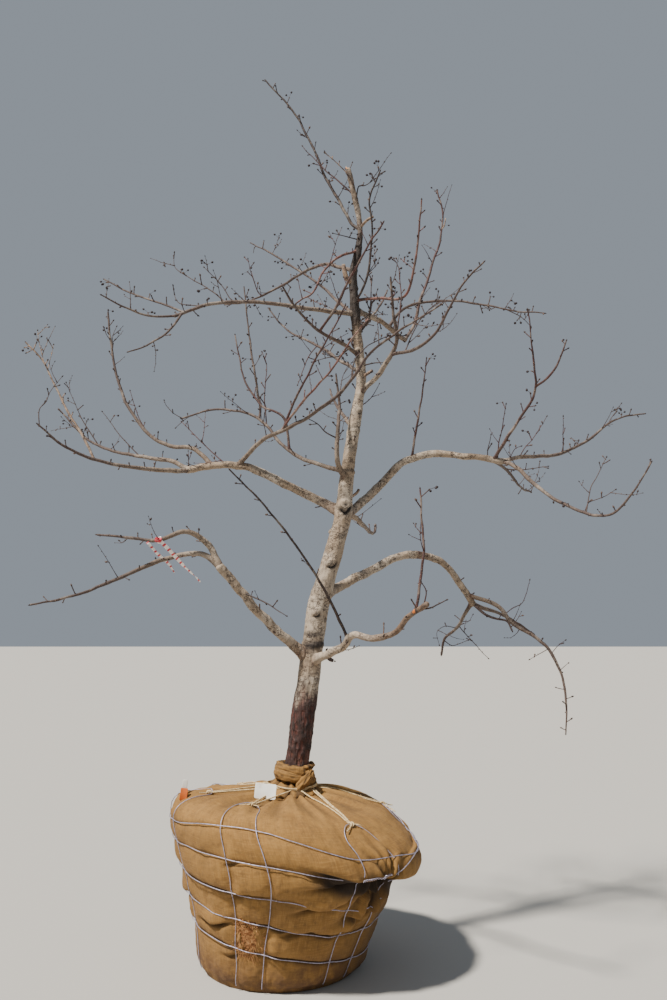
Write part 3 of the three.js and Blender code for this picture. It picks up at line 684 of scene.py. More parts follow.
def burlap_finish(look):
    """Brown jute cloth: weave, slubs, soil stains, painted shade in its creases, and the torn patch with its
    rusty fibres.
    """
    f = Finish("jute_cloth")
    place, skin = f.place(), f.skin()
    torn, soil, crease_shade = f.mark("torn"), f.mark("soil"), f.mark("crease_shade")
    bend = f.noise(place, 9.0, 3.0)
    across, along = (f.waves(skin, look.weave_scale, direction, 0.6) for direction in "XY")
    weave = across * (1.0 - along) + along * (1.0 - across)
    long_slubs, cross_slubs = (
        f.noise(f.scaled(skin, scale), 1.0, 3.0) for scale in ((14.0, 260.0, 1.0), (260.0, 14.0, 1.0))
    )
    slubs = long_slubs + cross_slubs
    crumbs = f.noise(place, 70.0, 5.0, 0.7)
    tone = f.layers(f.mix(f.span(bend, 0.35, 0.68), look.cloth, look.worn_cloth), [
        (f.span(slubs, 0.9, 1.2) * 0.5, look.pale_cloth),
        ((1.0 - weave) * 0.26, paint(90, 62, 34)),
        (f.span(f.noise(place, 46.0, 5.0, 0.72), 0.46, 0.7) * 0.45, look.stained_cloth),
        (f.span(f.noise(place, 4.5, 4.0, 0.6), 0.52, 0.72) * 0.5, look.stained_cloth),
        (soil * f.span(f.noise(place, 18.0, 4.0), 0.3, 0.62), paint(86, 58, 36)),
        # Painted shade in the creases
        (crease_shade * 0.95, paint(32, 21, 12)),
    ])
    earth = f.layers(paint(152, 104, 60), [
        (f.span(crumbs, 0.46, 0.66), paint(86, 54, 34)),
        # Painted shade in the holes and creases of the torn patch
        (crease_shade * 0.95, paint(34, 22, 14)),
    ])
    f.set("Base Color", f.mix(torn, tone, earth))
    f.set("Roughness", 0.82 + 0.14 * weave)
    threads = f.bump(weave + slubs * 0.6, 0.0011, look.weave_depth)
    f.set("Normal", f.bump(crumbs * torn + bend * 0.5, 0.008, 0.8, threads))
    return f.material


def noise_finish(name, colour, noises, roughness, relief, shine=0.5, metallic=0.0):
    """A simple finish: noises that each lay a colour over the one below. A noise has its ground, its scale,
    detail and grain, the span and share that it shows with, and its colour. The roughness and the relief
    each follow one of the noises."""
    f = Finish(name, metallic=metallic, shine=shine)
    made = []
    for ground, scale, detail, grain, low, high, share, other in noises:
        vector = getattr(f, ground)()
        if isinstance(scale, tuple):
            vector, scale = f.scaled(vector, scale), 1.0
        made.append(f.noise(vector, scale, detail, grain))
        if other is not None:
            colour = f.mix(f.span(made[-1], low, high) * share, colour, other)
    f.set("Base Color", colour)
    follows, level, swing = roughness
    f.set("Roughness", level + swing * made[follows])
    follows, distance, strength = relief
    f.set("Normal", f.bump(made[follows], distance, strength))
    return f.material


def twig_finish(kind):
    """Thin young wood with small pale dots and a slight sheen."""
    return noise_finish("twig_" + kind, YOUNG_COLOURS[kind], [
        ("place", 70.0, 3.0, 0.55, 0.35, 0.7, 1.0, paint(66, 50, 46)),
        ("place", 420.0, 2.0, 0.55, 0.6, 0.72, 0.3, paint(160, 138, 120)),
    ], (0, 0.5, 0.3), (1, 0.0006, 0.6), shine=0.4)


def bud_finish(kind):
    """Dark bud scales with a little grey down."""
    return noise_finish("bud_" + kind, BUD_COLOURS[kind], [
        ("place", 520.0, 3.0, 0.55, 0.5, 0.75, 1.0, paint(126, 104, 90)),
    ], (0, 0.5, 0.35), (0, 0.0008, 0.7), shine=0.4)


def fruit_finish():
    """Dried, wrinkled little fruit, nearly black."""
    return noise_finish("fruit_dried", paint(44, 24, 24), [
        ("place", 380.0, 4.0, 0.65, 0.4, 0.7, 1.0, paint(26, 19, 20)),
    ], (0, 0.45, 0.4), (0, 0.0012, 0.8), shine=0.45)


def wire_finish(look):
    """Galvanised wire with dull spots."""
    return noise_finish("galvanised_wire", look.wire, [
        ("place", 90.0, 4.0, 0.65, 0.4, 0.7, 1.0, paint(132, 126, 140)),
        ("place", 12.0, 3.0, 0.55, 0.56, 0.74, 0.6, paint(112, 92, 74)),
    ], (0, 0.34, 0.4), (0, 0.0006, 0.4), metallic=0.55)


def twine_finish(look):
    """Pale sisal fibres."""
    return noise_finish("sisal", look.twine, [
        ("skin", (900.0, 60.0, 1.0), 3.0, 0.55, 0.35, 0.7, 1.0, paint(150, 120, 78)),
        ("place", 30.0, 3.0, 0.55, 0.55, 0.75, 0.5, paint(128, 98, 62)),
    ], (0, 0.75, 0.2), (0, 0.001, 0.8), shine=0.3)


def fray_finish():
    """Loose rusty jute fibres."""
    return noise_finish("burlap_fray", paint(200, 150, 98), [
        ("place", 60.0, 3.0, 0.55, 0.35, 0.65, 1.0, paint(146, 96, 58)),
    ], (0, 0.8, 0.15), (0, 0.0005, 0.4), shine=0.3)


def plastic_finish(name, base, worn):
    """Thin blank plastic with faint dirt and scuffs."""
    return noise_finish(name, base, [
        ("place", 28.0, 4.0, 0.6, 0.5, 0.75, 0.55, worn),
        ("place", (300.0, 40.0, 40.0), 2.0, 0.55, 0, 1, 0, None),
    ], (1, 0.42, 0.25), (1, 0.0004, 0.3), shine=0.45)


def tape_finish(look):
    """Thin red and white plastic tape, a little faded."""
    f = Finish("tape_plastic", shine=0.5)
    stripes = f.waves(f.skin(), 11.0, "Y", 0.3)
    fade = f.noise(f.place(), 40.0, 3.0)
    red = f.mix(f.span(fade, 0.4, 0.7) * 0.4, look.tape, paint(226, 150, 132))
    f.set("Base Color", f.mix(f.span(stripes, 0.2, 0.28), red, paint(238, 230, 224)))
    f.set("Roughness", 0.35 + 0.25 * fade)
    f.set("Normal", f.bump(fade, 0.0008, 0.4))
    return f.material


def floor_finish(look):
    """A plain pale floor."""
    f = Finish("pale_floor")
    f.set("Base Color", look.floor)
    f.set("Roughness", 0.75 + 0.1 * f.noise(f.place(), 3.0, 2.0))
    return f.material


# Meshes and pieces


def tube_faces(rows, columns):
    """The faces of a closed tube of rings: quads, then a fan at each end."""
    row, column = np.mgrid[0 : rows - 1, 0:columns]
    low, high, onward = row * columns, (row + 1) * columns, (column + 1) % columns
    quads = np.stack([low + column, low + onward, high + onward, high + column], axis=-1).reshape(-1, 4)
    foot, last = rows * columns, (rows - 1) * columns
    sides = [(c, (c + 1) % columns) for c in range(columns)]
    fans = [(foot, b, a) for a, b in sides] + [(foot + 1, last + a, last + b) for a, b in sides]
    return [*quads.tolist(), *fans]


def tube_uv(rows, columns, around, along):
    """Skin places of a tube's corners: metres round at each row, metres along."""
    row, column = np.mgrid[0 : rows - 1, 0:columns]
    corners = [(row, column), (row, column + 1), (row + 1, column + 1), (row + 1, column)]
    quads = np.stack(
        [np.stack([around[r] * c / columns, along[r]], axis=-1) for r, c in corners], axis=-2
    ).reshape(-1, 2)
    fans = np.zeros((columns * 6, 2))
    fans[: columns * 3, 1] = along[0]
    fans[columns * 3 :, 1] = along[-1]
    return np.vstack([quads, fans])


def settle(piece, replaced=()):
    """Rides a finished piece on the tree and hides the plain solids it stands for."""
    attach(piece, "root")
    if replaced:
        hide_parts(*replaced)


def new_piece(name, vertices, faces, uv, materials, replaced=(), marks=None, finishes=None):
    """A mesh object that rides on the tree, with its material slot and the plain solids it stands for."""
    mesh = bpy.data.meshes.new(name)
    mesh.from_pydata(np.asarray(vertices).tolist(), [], faces)
    mesh.uv_layers.new(name="skin").data.foreach_set("uv", np.asarray(uv, np.float32).ravel())
    for mark, values in (marks or {}).items():
        mesh.attributes.new(mark, "FLOAT", "POINT").data.foreach_set("value", values.astype(np.float32))
    for material in materials:
        mesh.materials.append(material)
    if finishes is not None:
        mesh.polygons.foreach_set("material_index", finishes)
    mesh.polygons.foreach_set("use_smooth", [True] * len(mesh.polygons))
    mesh.validate()
    piece = bpy.data.objects.new(name, mesh)
    bpy.context.scene.collection.objects.link(piece)
    settle(piece, replaced)


def tube_piece(
    name, rows, around, along, material, replaced, marks, ends=None, end_marks=None, inward=False
):
    """A piece that is one closed tube over rings of points. A mark gives a value at each point, and its last
    ring goes on to the tube's end. The two end points and their marks are the means of the end rings, unless
    others are given."""
    rows = np.asarray(rows)
    count, columns = rows.shape[:2]
    vertices = np.vstack([rows.reshape(-1, 3), *(ends or (rows[0].mean(axis=0), rows[-1].mean(axis=0)))])
    faces = tube_faces(count, columns)
    if inward:
        faces = [tuple(reversed(face)) for face in faces]
    whole = {}
    for mark, values in marks.items():
        onward = np.repeat(values[-1:], count - len(values), axis=0)
        closing = (end_marks or {}).get(mark, (values[0].mean(), values[-1].mean()))
        whole[mark] = np.concatenate([values.ravel(), onward.ravel(), closing])
    uv = tube_uv(count, columns, np.broadcast_to(around, count), along)
    new_piece(name, vertices, faces, uv, [material], replaced, whole)


class Bundle:
    """Many small shapes that become one piece, each with its own finish."""

    def __init__(self):
        self.vertices, self.faces, self.finishes, self.uv = [], [], [], []
        self.count = 0

    def add_rings(self, rows, ends, around, along, finish=0):
        """A closed tube over rings of points."""
        faces = tube_faces(*rows.shape[:2])
        self.vertices.append(np.vstack([rows.reshape(-1, 3), *ends]))
        self.faces.extend([tuple(v + self.count for v in face) for face in faces])
        self.finishes.extend([finish] * len(faces))
        self.uv.append(tube_uv(*rows.shape[:2], around, along))
        self.count += len(self.vertices[-1])

    def add_tube(self, points, radii, sides, finish=0):
        """A round tube along points, closed at both ends."""
        points = np.asarray(points, float)
        radii = np.broadcast_to(np.asarray(radii, float), len(points))
        _, across, other = frames_along(points)
        turn = round_turns(sides)
        rings = (
            points[:, None]
            + across[:, None] * (np.cos(turn) * radii[:, None])[..., None]
            + other[:, None] * (np.sin(turn) * radii[:, None])[..., None]
        )
        self.add_rings(rings, (points[0], points[-1]), 2 * math.pi * radii, gone_along(points), finish)

    def piece(self, name, materials, slot, replaced=()):
        vertices, uv = np.vstack(self.vertices), np.vstack(self.uv)
        new_piece(name, vertices, self.faces, uv, materials, replaced, finishes=self.finishes)


# Bark


def limb_sides(radius):
    """How many corners a limb's rings have."""
    return 64 if radius > 0.03 else 28 if radius > THICK_LIMB else 18 if radius > MIDDLE_LIMB else 10


def bark_skin(line, sides, flare=0.0, flare_from=0.0, parent_way=UP):
    """The bare surface of a limb: its rings, and the outward way of each corner."""
    _, across, other = frames_along(line.points)
    turn = round_turns(sides)
    outward = across[:, None] * np.cos(turn)[None, :, None] + other[:, None] * np.sin(turn)[None, :, None]
    past = np.clip(line.places - flare_from, 0, None) / max(line.radii[0] * 1.5, 1e-4)
    swell = flare * np.exp(-past)
    toward = np.abs(outward @ parent_way)
    radii = line.radii[:, None] * (1 + swell[:, None] * (0.45 + 0.95 * toward))
    return line.points[:, None] + outward * radii[..., None], outward


def shoulder_marks(surface, outward, children):
    """Swellings of the bark where a limb leaves, and how near each corner is to one."""
    rise = np.zeros(surface.shape[:2])
    near = np.zeros(surface.shape[:2])
    for point, way, radius in children:
        gap = np.linalg.norm(surface - point, axis=2)
        facing = np.clip(outward @ way, 0, 1)
        rise += 0.22 * radius * hill(gap, 1.9 * radius + 0.006) * facing
        near = np.maximum(near, hill(gap, 1.25 * radius + 0.004) * facing)
    return rise, near


def dome_rings(surface, line):
    """The rings of a limb's rounded tip, and its end point."""
    way = unit(line.points[-1] - line.points[-2])
    middle, radius = line.points[-1], line.radii[-1]
    spread = surface[-1] - middle
    rings = [middle + spread * math.cos(turn) + way * radius * math.sin(turn) for turn in DOME_TURNS]
    return rings, middle + way * radius


def make_limb(name, parent, materials, seed):
    """One limb with its bark's relief, from its collar in the parent to its rounded tip."""
    line, parent = tree_lines()[name], tree_lines()[parent]
    sides = limb_sides(line.radii.max())
    wide = parent.radius_near(line.points[0])
    flare = 0.55 * float(np.clip(1.25 - line.radii[0] / wide, 0.08, 1))
    flare_from = 0.9 * wide
    surface, outward = bark_skin(line, sides, flare, flare_from, unit(parent.points[-1] - parent.points[0]))
    size = line.radii.mean()
    lumps = rough_noise(surface, (20.0, 20.0, 12.0), seed + 3, 2) * size * 0.085
    ripples = rough_noise(surface, 75.0, seed + 11, 2) * min(0.0007, size * 0.05)
    rise, near = shoulder_marks(surface, outward, children_of(name))
    spots = np.column_stack([line.places * 24, line.places * 0 + seed, line.places * 0])
    rings = np.clip(np.abs(soft_noise(spots, 1.0, seed + 5)) * -6 + 1, 0, 1) * min(0.0016, size * 0.09)
    # Painted shade round the places where limbs and shoots leave, and dark marks at the growth rings
    scar_and_shade = np.clip(near * 0.5 + (rings / 0.0016 * 0.22)[:, None], 0, 0.7)
    if size > KNOTTED_LIMB:
        r = random.Random(seed)
        for _ in range(int(line.length * 7)):
            row = r.randrange(4, max(5, len(line.places) - 4))
            column = r.randrange(sides)
            high = line.radii[row]
            wide = r.uniform(0.35, 0.7) * high
            gap = np.linalg.norm(surface - surface[row, column], axis=2)
            rise = rise + 0.16 * high * hill(gap, wide) - 0.14 * high * hill(gap, wide * 0.4)
            scar_and_shade = np.maximum(scar_and_shade, 0.75 * hill(gap, wide * 0.5))
    surface = surface + outward * (lumps + ripples + rise + rings[:, None])[..., None]
    flat = np.ones(sides)
    age = smoothstep(line.radii * 2, 0.011, 0.03)[:, None] * flat
    if name in YOUNG_FROM:
        patchy = 0.75 + 0.2 * soft_noise(surface, 14.0, seed + 7)
        age = age * (1 - smoothstep(line.places / line.length, *YOUNG_FROM[name])[:, None] * patchy)
    # Rough bark and painted shade in the crotch at the limb's foot
    crotch = np.exp(-np.clip(line.places - flare_from, 0, None) / 0.03)[:, None] * flat
    rough_and_shade = np.clip(crotch * 0.42 * (soft_noise(surface, (34.0, 34.0, 60.0), seed) + 0.9), 0, 0.7)
    if size > ROUGH_LIMB:
        foot = np.exp(-line.places / 0.16)[:, None] * flat
        rough_and_shade = np.maximum(rough_and_shade, 0.62 * foot * (0.75 + 0.3 * soft_noise(surface, 22.0, seed + 9)))
    wood = np.zeros(surface.shape[:2])
    for share, bearing, wide in WOUNDS.get(name, []):
        point, _, radius = line.at(line.length * share)
        gap = np.linalg.norm(surface - (point + direction_of(bearing, 20) * radius), axis=2)
        wood = np.maximum(wood, 0.5 * hill(gap * (1 + 0.4 * soft_noise(surface, 80.0, 8)), wide))
        scar_and_shade = np.maximum(scar_and_shade, 0.7 * hill(gap - wide * 1.35, wide * 0.35))
    dome, tip = dome_rings(surface, line)
    beyond = line.places[-1] + line.radii[-1] * np.arange(1, len(dome) + 1) * 0.4
    marks = {"age": age, "rough_and_shade": rough_and_shade, "scar_and_shade": scar_and_shade, "wood": wood}
    tube_piece(
        name + "_bark", [*surface, *dome],
        2 * math.pi * np.concatenate([line.radii, np.full(len(dome), line.radii[-1])]),
        np.concatenate([line.places, beyond]), materials[YOUNG_KIND.get(name, "grey")], [name],
        marks, (surface[0].mean(axis=0), tip),
        {mark: (marks[mark][0].mean(), 0.0) for mark in ("rough_and_shade", "scar_and_shade", "wood")},
    )


def make_trunk(materials):
    """The trunk, with scaly bark at its foot, knots, ridges and a broken tip."""
    line = tree_lines()["trunk"]
    sides = limb_sides(line.radii.max())
    surface, outward = bark_skin(line, sides)
    height = surface[..., 2]

    def noise(scale, seed):
        return soft_noise(surface, scale, seed)

    ragged = height + 0.03 * noise(14.0, 3) + 0.04 * noise((75.0, 75.0, 28.0), 4)
    foot = 1 - smoothstep(ragged, FOOT_BARK_TOP - 0.1, FOOT_BARK_TOP + 0.13)
    # The rough band: ringed rough bark with painted shade on it
    band = hill(height - ROUGH_BAND[0] + 0.02 * noise(20.0, 5), ROUGH_BAND[1])
    band = band * smoothstep(noise((24.0, 24.0, 15.0), 9), -0.6, 0.1)
    band = band * np.clip(1.3 - 3.2 * np.abs(noise((9.0, 9.0, 62.0), 87)), 0.25, 1)
    flaky = 0.16 * smoothstep(rough_noise(surface, (13.0, 13.0, 8.0), 91, 3), 0.0, 0.9)
    # Painted shade over the trunk's upper part, which has darker bark there too
    shaded = smoothstep(height, *SHADED_FROM) * (1 - smoothstep(height, *SHADED_TO))
    shaded = shaded * smoothstep(noise((9.0, 9.0, 5.0), 93), -0.9, -0.1)
    rough_and_shade = np.clip(foot + 0.35 * band + flaky + 0.3 * shaded, 0, 1)
    scales = 1 - np.abs(noise((42.0, 42.0, 17.0), 21))
    lumps = 0.0034 * rough_noise(surface, (15.0, 15.0, 8.0), 31, 4)
    lumps = lumps + 0.0005 * rough_noise(surface, 90.0, 33, 2)
    flutes = 0.0016 * noise((26.0, 26.0, 3.0), 41)
    rise, near = shoulder_marks(surface, outward, children_of("trunk"))
    relief = lumps + flutes + rise + rough_and_shade * (scales**3 * 0.0032 + 0.0012 * noise(70.0, 51))
    # Painted shade round the places where limbs leave the trunk
    scar_and_shade = np.clip(near * 0.62 * (0.6 + 0.6 * noise((40.0, 40.0, 70.0), 61)), 0, 1)
    cracks = np.clip(1 - 5 * np.abs(noise((34.0, 34.0, 22.0), 95)), 0, 1)
    cracks = cracks * smoothstep(noise(11.0, 97), 0.05, 0.5)
    # Painted shade in the rough band and on the upper trunk, over rough and darker bark
    scar_and_shade = np.maximum(scar_and_shade, np.maximum(0.95 * band, 0.86 * shaded))
    scar_and_shade = np.maximum(scar_and_shade, 0.45 * cracks * (1 - foot))
    for level, bearing, wide, out in TRUNK_KNOTS:
        row = int(np.argmin(np.abs(line.points[:, 2] - level)))
        spot = line.points[row] + direction_of(bearing, 0) * line.radii[row]
        gap = np.linalg.norm(surface - spot, axis=2) * (1 + 0.3 * noise(60.0, 13))
        ripple = 0.18 * np.cos(np.clip(gap / wide, 0, 2) * 12.0)
        # Painted shadow in a crescent under each knot's boss, with the knot's dark pit and rings
        below = np.clip((surface - spot) @ np.array([0.5, 0.0, -1.0]) / np.maximum(gap, 1e-4) * 1.5, 0, 1)
        shadow_crescent = hill(gap - wide * 0.82, wide * 0.24) * below
        relief = relief + 1.35 * out * hill(gap, wide * 0.8) * (1 + ripple) - out * shadow_crescent
        relief = relief - 0.6 * out * hill(gap, wide * 0.2)
        lines = hill(gap - wide * 0.5, wide * 0.08) + hill(gap - wide * 0.95, wide * 0.08)
        lines = lines * smoothstep(noise(45.0, 15), -0.5, 0.5)
        dark = 1.25 * shadow_crescent + 1.1 * hill(gap, wide * 0.24) + 0.5 * lines
        scar_and_shade = np.maximum(scar_and_shade, np.minimum(1, dark))
    for level, out in TRUNK_RIDGES:
        gap = height - level - 0.01 * noise(16.0, 71)
        relief = relief + out * hill(gap, 0.009) - 0.5 * out * hill(gap - 0.014, 0.006)
        scar_and_shade = np.maximum(scar_and_shade, 0.55 * hill(gap - 0.012, 0.006))
    fine_rings = np.clip(1 - 7 * np.abs(noise((3.0, 3.0, 30.0), 81)), 0, 1)
    relief = relief + 0.0009 * fine_rings
    scar_and_shade = np.clip(np.maximum(scar_and_shade, 0.3 * fine_rings * (1 - foot)), 0, 1)
    relief = relief * smoothstep(line.places, 0.0, 0.02)[:, None]
    surface = surface + outward * relief[..., None]
    surface[0, :, 2] = line.points[0, 2]
    slant = (surface[-1] - line.points[-1]) @ np.array([math.cos(2.4), math.sin(2.4), 0])
    surface[-1] += UP * (slant * 0.9)[:, None] + UP * (0.004 * soft_noise(surface[-1], 300.0, 5))[:, None]
    age = np.clip(0.62 + 0.4 * smoothstep(line.radii * 2, 0.02, 0.045), 0, 1)[:, None] * np.ones(sides)
    wood = np.zeros(surface.shape[:2])
    wood[-1] = 0.8
    tube_piece(
        "trunk_bark", surface, 2 * math.pi * line.radii, line.places, materials["grey"], ["trunk"],
        {"age": age, "rough_and_shade": rough_and_shade, "scar_and_shade": scar_and_shade, "wood": wood},
        (line.points[0], surface[-1].mean(axis=0) - UP * 0.003),
    )


# Shoots, spurs and buds

TWIG_KINDS = ["grey", "red", "pale", "salmon", "dark", "pink", "tan", "cut"]
# The outlines of a bud and of a fruit: how far along, and how wide there
BUD_SHAPE = [(0.0, 0.45), (0.28, 1.0), (0.62, 0.82), (0.9, 0.3)]
FRUIT_SHAPE = [(0.0, 0.3), (0.16, 0.78), (0.38, 1.0), (0.62, 0.96), (0.84, 0.66), (1.0, 0.24)]
# Above these heights the crown bears most and some of its fruit, and spurs crowd; beyond these depths it
# has no fruit and no spurs, in metres
CROWN_TOP, CROWN_MIDDLE = 2.55, 2.2
FRUIT_DEPTH, SPUR_DEPTH = 0.58, 0.6


class Sprays:
    """Everything finer than a limb: spurs, side shoots, buds and last year's fruit, by one seeded rule."""

    def __init__(self, look):
        self.look = look
        self.wood, self.buds, self.fruit = Bundle(), Bundle(), Bundle()
        self.random = random.Random(look.seed)
        self.fruit_random = random.Random(look.seed + 4)

    def twig(self, points, radii, sides, kind):
        self.wood.add_tube(points, radii, sides, TWIG_KINDS.index(kind))

    def bud(self, point, way, long, wide, finish):
        """A pointed bud of a few dozen faces."""
        way = unit(way)
        points = [point + way * (long * up - 0.25 * wide) for up, _ in BUD_SHAPE] + [point + way * long]
        self.buds.add_tube(points, [wide * out for _, out in BUD_SHAPE] + [0.04 * wide], 6, finish)

    def bear(self, point, way):
        """Now and then one to three dried little fruits on thin stalks, most of all high in the crown."""
        r = self.fruit_random
        share = 1.0 if point[2] > CROWN_TOP else 0.45 if point[2] > CROWN_MIDDLE else 0.1
        if r.random() > self.look.fruiting * share or abs(point[1]) > FRUIT_DEPTH:
            return
        for _ in range(r.choice([1, 1, 2, 2, 3])):
            heading = unit(way + stray(r, 1.1, -0.6, 0.7))
            stalk = [point - heading * 0.002]
            for _ in range(4):
                heading = unit(heading + UP * -0.14)
                stalk.append(stalk[-1] + heading * r.uniform(0.005, 0.0085))
            self.twig(stalk, [0.0009, 0.0006, 0.0005, 0.0005, 0.0007], 4, "dark")
            long = self.look.fruit_length * r.uniform(0.8, 1.15)
            points = [stalk[-1] + heading * (long * (up - 0.08)) for up, _ in FRUIT_SHAPE]
            radii = [long * 0.5 * out * r.uniform(0.86, 1.04) for _, out in FRUIT_SHAPE]
            self.fruit.add_tube(points, radii, 8)

    def spur(self, point, way, kind, long, wide):
        """A short wrinkled spur that turns up, with one to three fat buds at its end."""
        r = self.random
        turn = unit(way + UP * r.uniform(0.1, 0.7) + stray(r, 0.4))
        steps = 5
        points, radii = [point - way * 0.004], [wide * 1.5]
        heading = unit(way)
        for step in range(1, steps + 1):
            heading = unit(heading * 0.72 + turn * 0.28)
            points.append(points[-1] + heading * (long / steps))
            radii.append(wide * (1.12 if step % 2 else 0.88))
        self.twig(points, radii, 6, kind)
        finish = 0 if r.random() < 0.75 else 1
        size = self.look.bud_length * r.uniform(0.75, 1.2)
        self.bud(points[-1], heading, size, size * 0.4, finish)
        for _ in range(r.choice([0, 0, 1, 1, 2])):
            aside = unit(heading + stray(r, 1, -0.5, 0.8))
            self.bud(points[-1] - heading * 0.002, aside, size * 0.8, size * 0.32, finish)
        self.bear(points[-1], heading)

    def side_shoot(self, point, way, kind, long, wide, level=0):
        """A slim shoot with buds set by fifths along it, and at times a spur or a finer shoot."""
        r = self.random
        heading = unit(way)
        aim = unit(heading * 0.6 + UP * r.uniform(0.2, 1.0) + stray(r, 0.3))
        steps = max(4, int(long / 0.022))
        points = [point - heading * 0.004]
        for _ in range(steps):
            heading = unit(heading * 0.86 + aim * 0.14 + stray(r, 1, -1, 1) * 0.11)
            points.append(points[-1] + heading * (long / steps))
        radii = np.linspace(wide, wide * 0.45, len(points))
        radii[0] = wide * 1.4
        self.twig(points, radii, 6, kind)
        turn = r.uniform(0, 6.28)
        along, across, other = frames_along(np.array(points))
        for step in range(1, len(points) - 1):
            turn += FIFTHS
            side = across[step] * math.cos(turn) + other[step] * math.sin(turn)
            out = unit(side + along[step] * 0.7)
            seat = points[step] + side * radii[step] * 0.7
            chance = r.random()
            if level == 0 and chance < 0.1:
                self.side_shoot(seat, out, kind, long * r.uniform(0.25, 0.5), wide * 0.7, 1)
            elif chance < 0.34:
                self.spur(seat, out, kind, r.uniform(0.006, 0.02), 0.0016)
            elif chance < 0.85:
                self.bud(seat, out, self.look.bud_length * 0.55, self.look.bud_length * 0.2, 1)
        size = self.look.bud_length * r.uniform(0.7, 0.95)
        self.bud(points[-1], heading, size, size * 0.3, 0)

    def dress(self, line, kind, crowd, start):
        """Spurs, shoots and buds along a limb, each two fifths of a turn on from the last."""
        r = self.random
        place, turn = start + r.uniform(0, 0.03), r.uniform(0, 6.28)
        along, across, other = frames_along(line.points)
        while place < line.length - 0.004:
            row = int(np.argmin(np.abs(line.places - place)))
            radius = float(line.radii[row])
            turn += FIFTHS + r.uniform(-0.25, 0.25)
            side = unit(across[row] * math.cos(turn) + other[row] * math.sin(turn) + UP * 0.45)
            out = unit(side + along[row] * r.uniform(0.1, 0.5))
            seat = line.points[row] + side * radius * 0.85
            chance = r.random() / (crowd * (1.5 if seat[2] > CROWN_TOP else 1.0))
            if abs(seat[1]) > SPUR_DEPTH:
                chance = max(chance, 0.6)
            if radius > THICK_LIMB:
                if chance < 0.16:
                    self.spur(seat, out, "grey", r.uniform(0.012, 0.04), 0.0027)
                elif chance < 0.2:
                    shoot = r.choice(["red", "dark", "grey"])
                    self.side_shoot(seat, out, shoot, r.uniform(0.06, 0.2), 0.0024)
            elif chance < 0.5:
                self.spur(seat, out, kind, r.uniform(0.008, 0.042), r.uniform(0.0017, 0.0026))
            elif chance < 0.58:
                self.side_shoot(seat, out, kind, r.uniform(0.05, 0.17), r.uniform(0.0016, 0.0022))
            elif radius < MIDDLE_LIMB:
                self.bud(seat, out, self.look.bud_length * 0.6, self.look.bud_length * 0.22, 1)
            place += r.uniform(0.022, 0.05) * (1.35 if radius > THICK_LIMB else 1.0)

    def end_bud(self, line):
        """The bud at a limb's tip."""
        heading = unit(line.points[-1] - line.points[-3])
        size = self.look.bud_length * 1.05
        self.bud(line.points[-1] + heading * line.radii[-1] * 0.5, heading, size, size * 0.36, 0)


# The root ball

# Each ring of the basket: height, how far it falls towards the right, its sag at the front right
# and its dips at the right and at the left; the top of each loop, round from the front
BASKET_RINGS = [
    (0.150, 0.058, 0.005, 0.0, 0.0),
    (0.272, 0.045, 0.030, 0.0, 0.0),
    (0.390, 0.035, 0.045, 0.0, 0.0),
    (0.515, 0.012, 0.070, 0.0, 0.0),
    (0.628, 0.0, 0.090, 0.125, 0.036),
]
RING_SAG_BEARING, RING_SAG_REACH = math.radians(-56), math.radians(25)
RING_DIP_BEARING, RING_DIP_REACH = math.radians(-18), math.radians(24)
RING_LEFT_BEARING, RING_LEFT_REACH = math.radians(-158), math.radians(32)
LOOP_TOPS = [0.682, 0.65, 0.65, 0.682, 0.682, 0.682]
LOOP_HALF = math.radians(9.2)
LOOP_BEARINGS = [math.radians(-109) + 2 * math.pi * i / len(LOOP_TOPS) for i in range(len(LOOP_TOPS))]
RIB_FOOT = 0.022
LOOP_RISE = 0.085
RING_POINTS, RIB_POINTS, ARC_POINTS, TWIST_POINTS = 481, 140, 40, 60
# The torn patch, the gathers where the cloth is twisted in the wire, and the lip that hangs over at the
# front right: a bearing, its height there and how far it falls for each radian
TORN_BEARING, TORN_HEIGHT, TORN_REACH = math.radians(-110.5), 0.225, (0.036, 0.058)
TORN_HOLES = [(-0.016, 0.036), (0.002, -0.048)]
GATHER_BEARING, GATHER_HEIGHT = math.radians(-46), 0.455
LIP_BEARING, LIP_HEIGHT, LIP_FALL = math.radians(-46), 0.453, 0.103
# The deep folds of the cloth, each with painted shade in it: bearing, height, half width in degrees and
# depth, round from the left
CLOTH_FOLDS = [
    (-134, 0.258, 13, 0.026), (-120, 0.142, 9, 0.012), (-117, 0.503, 5, 0.012), (-117, 0.385, 5, 0.012),
    (-84, 0.246, 12, 0.012), (-74, 0.352, 13, 0.026), (-68, 0.440, 15, 0.036), (-58, 0.240, 12, 0.016),
    (-50, 0.300, 11, 0.024), (-46, 0.385, 11, 0.030), (-30, 0.340, 10, 0.026), (20, 0.330, 16, 0.020),
    (64, 0.470, 18, 0.020), (100, 0.250, 14, 0.018), (150, 0.420, 15, 0.022), (-176, 0.300, 14, 0.020),
]
# Valleys of the cloth that run down from the gathers: two ends each, as a bearing in degrees and a height
SLANTED_FOLDS = [
    ((-50.7, 0.438), (-59.8, 0.372)),
    ((-43.2, 0.419), (-46.0, 0.328)),
    ((-46.0, 0.328), (-51.0, 0.235)),
]
# How far the ball's middle is from its skin at the front right, in metres
FOLD_RADIUS = 0.53
# The ball's flat top, the height from which the cloth's rings lie closer, how much further they go, and
# where the last of them lies
BALL_TOP, CLOTH_SHOULDER, CLOTH_CROWN, CLOTH_TOP = 0.69, 0.66, 0.0295, 0.6895
# The height over which the cloth's noise changes as much as over one radius round it
NOISE_RISE = 2.2
# The metres of weave round each piece of cloth, and along the knot
BALL_WEAVE, SKIRT_WEAVE, KNOT_WEAVE, WRAP_WEAVE = 2.75, 0.7, (0.2, 0.12), 0.11
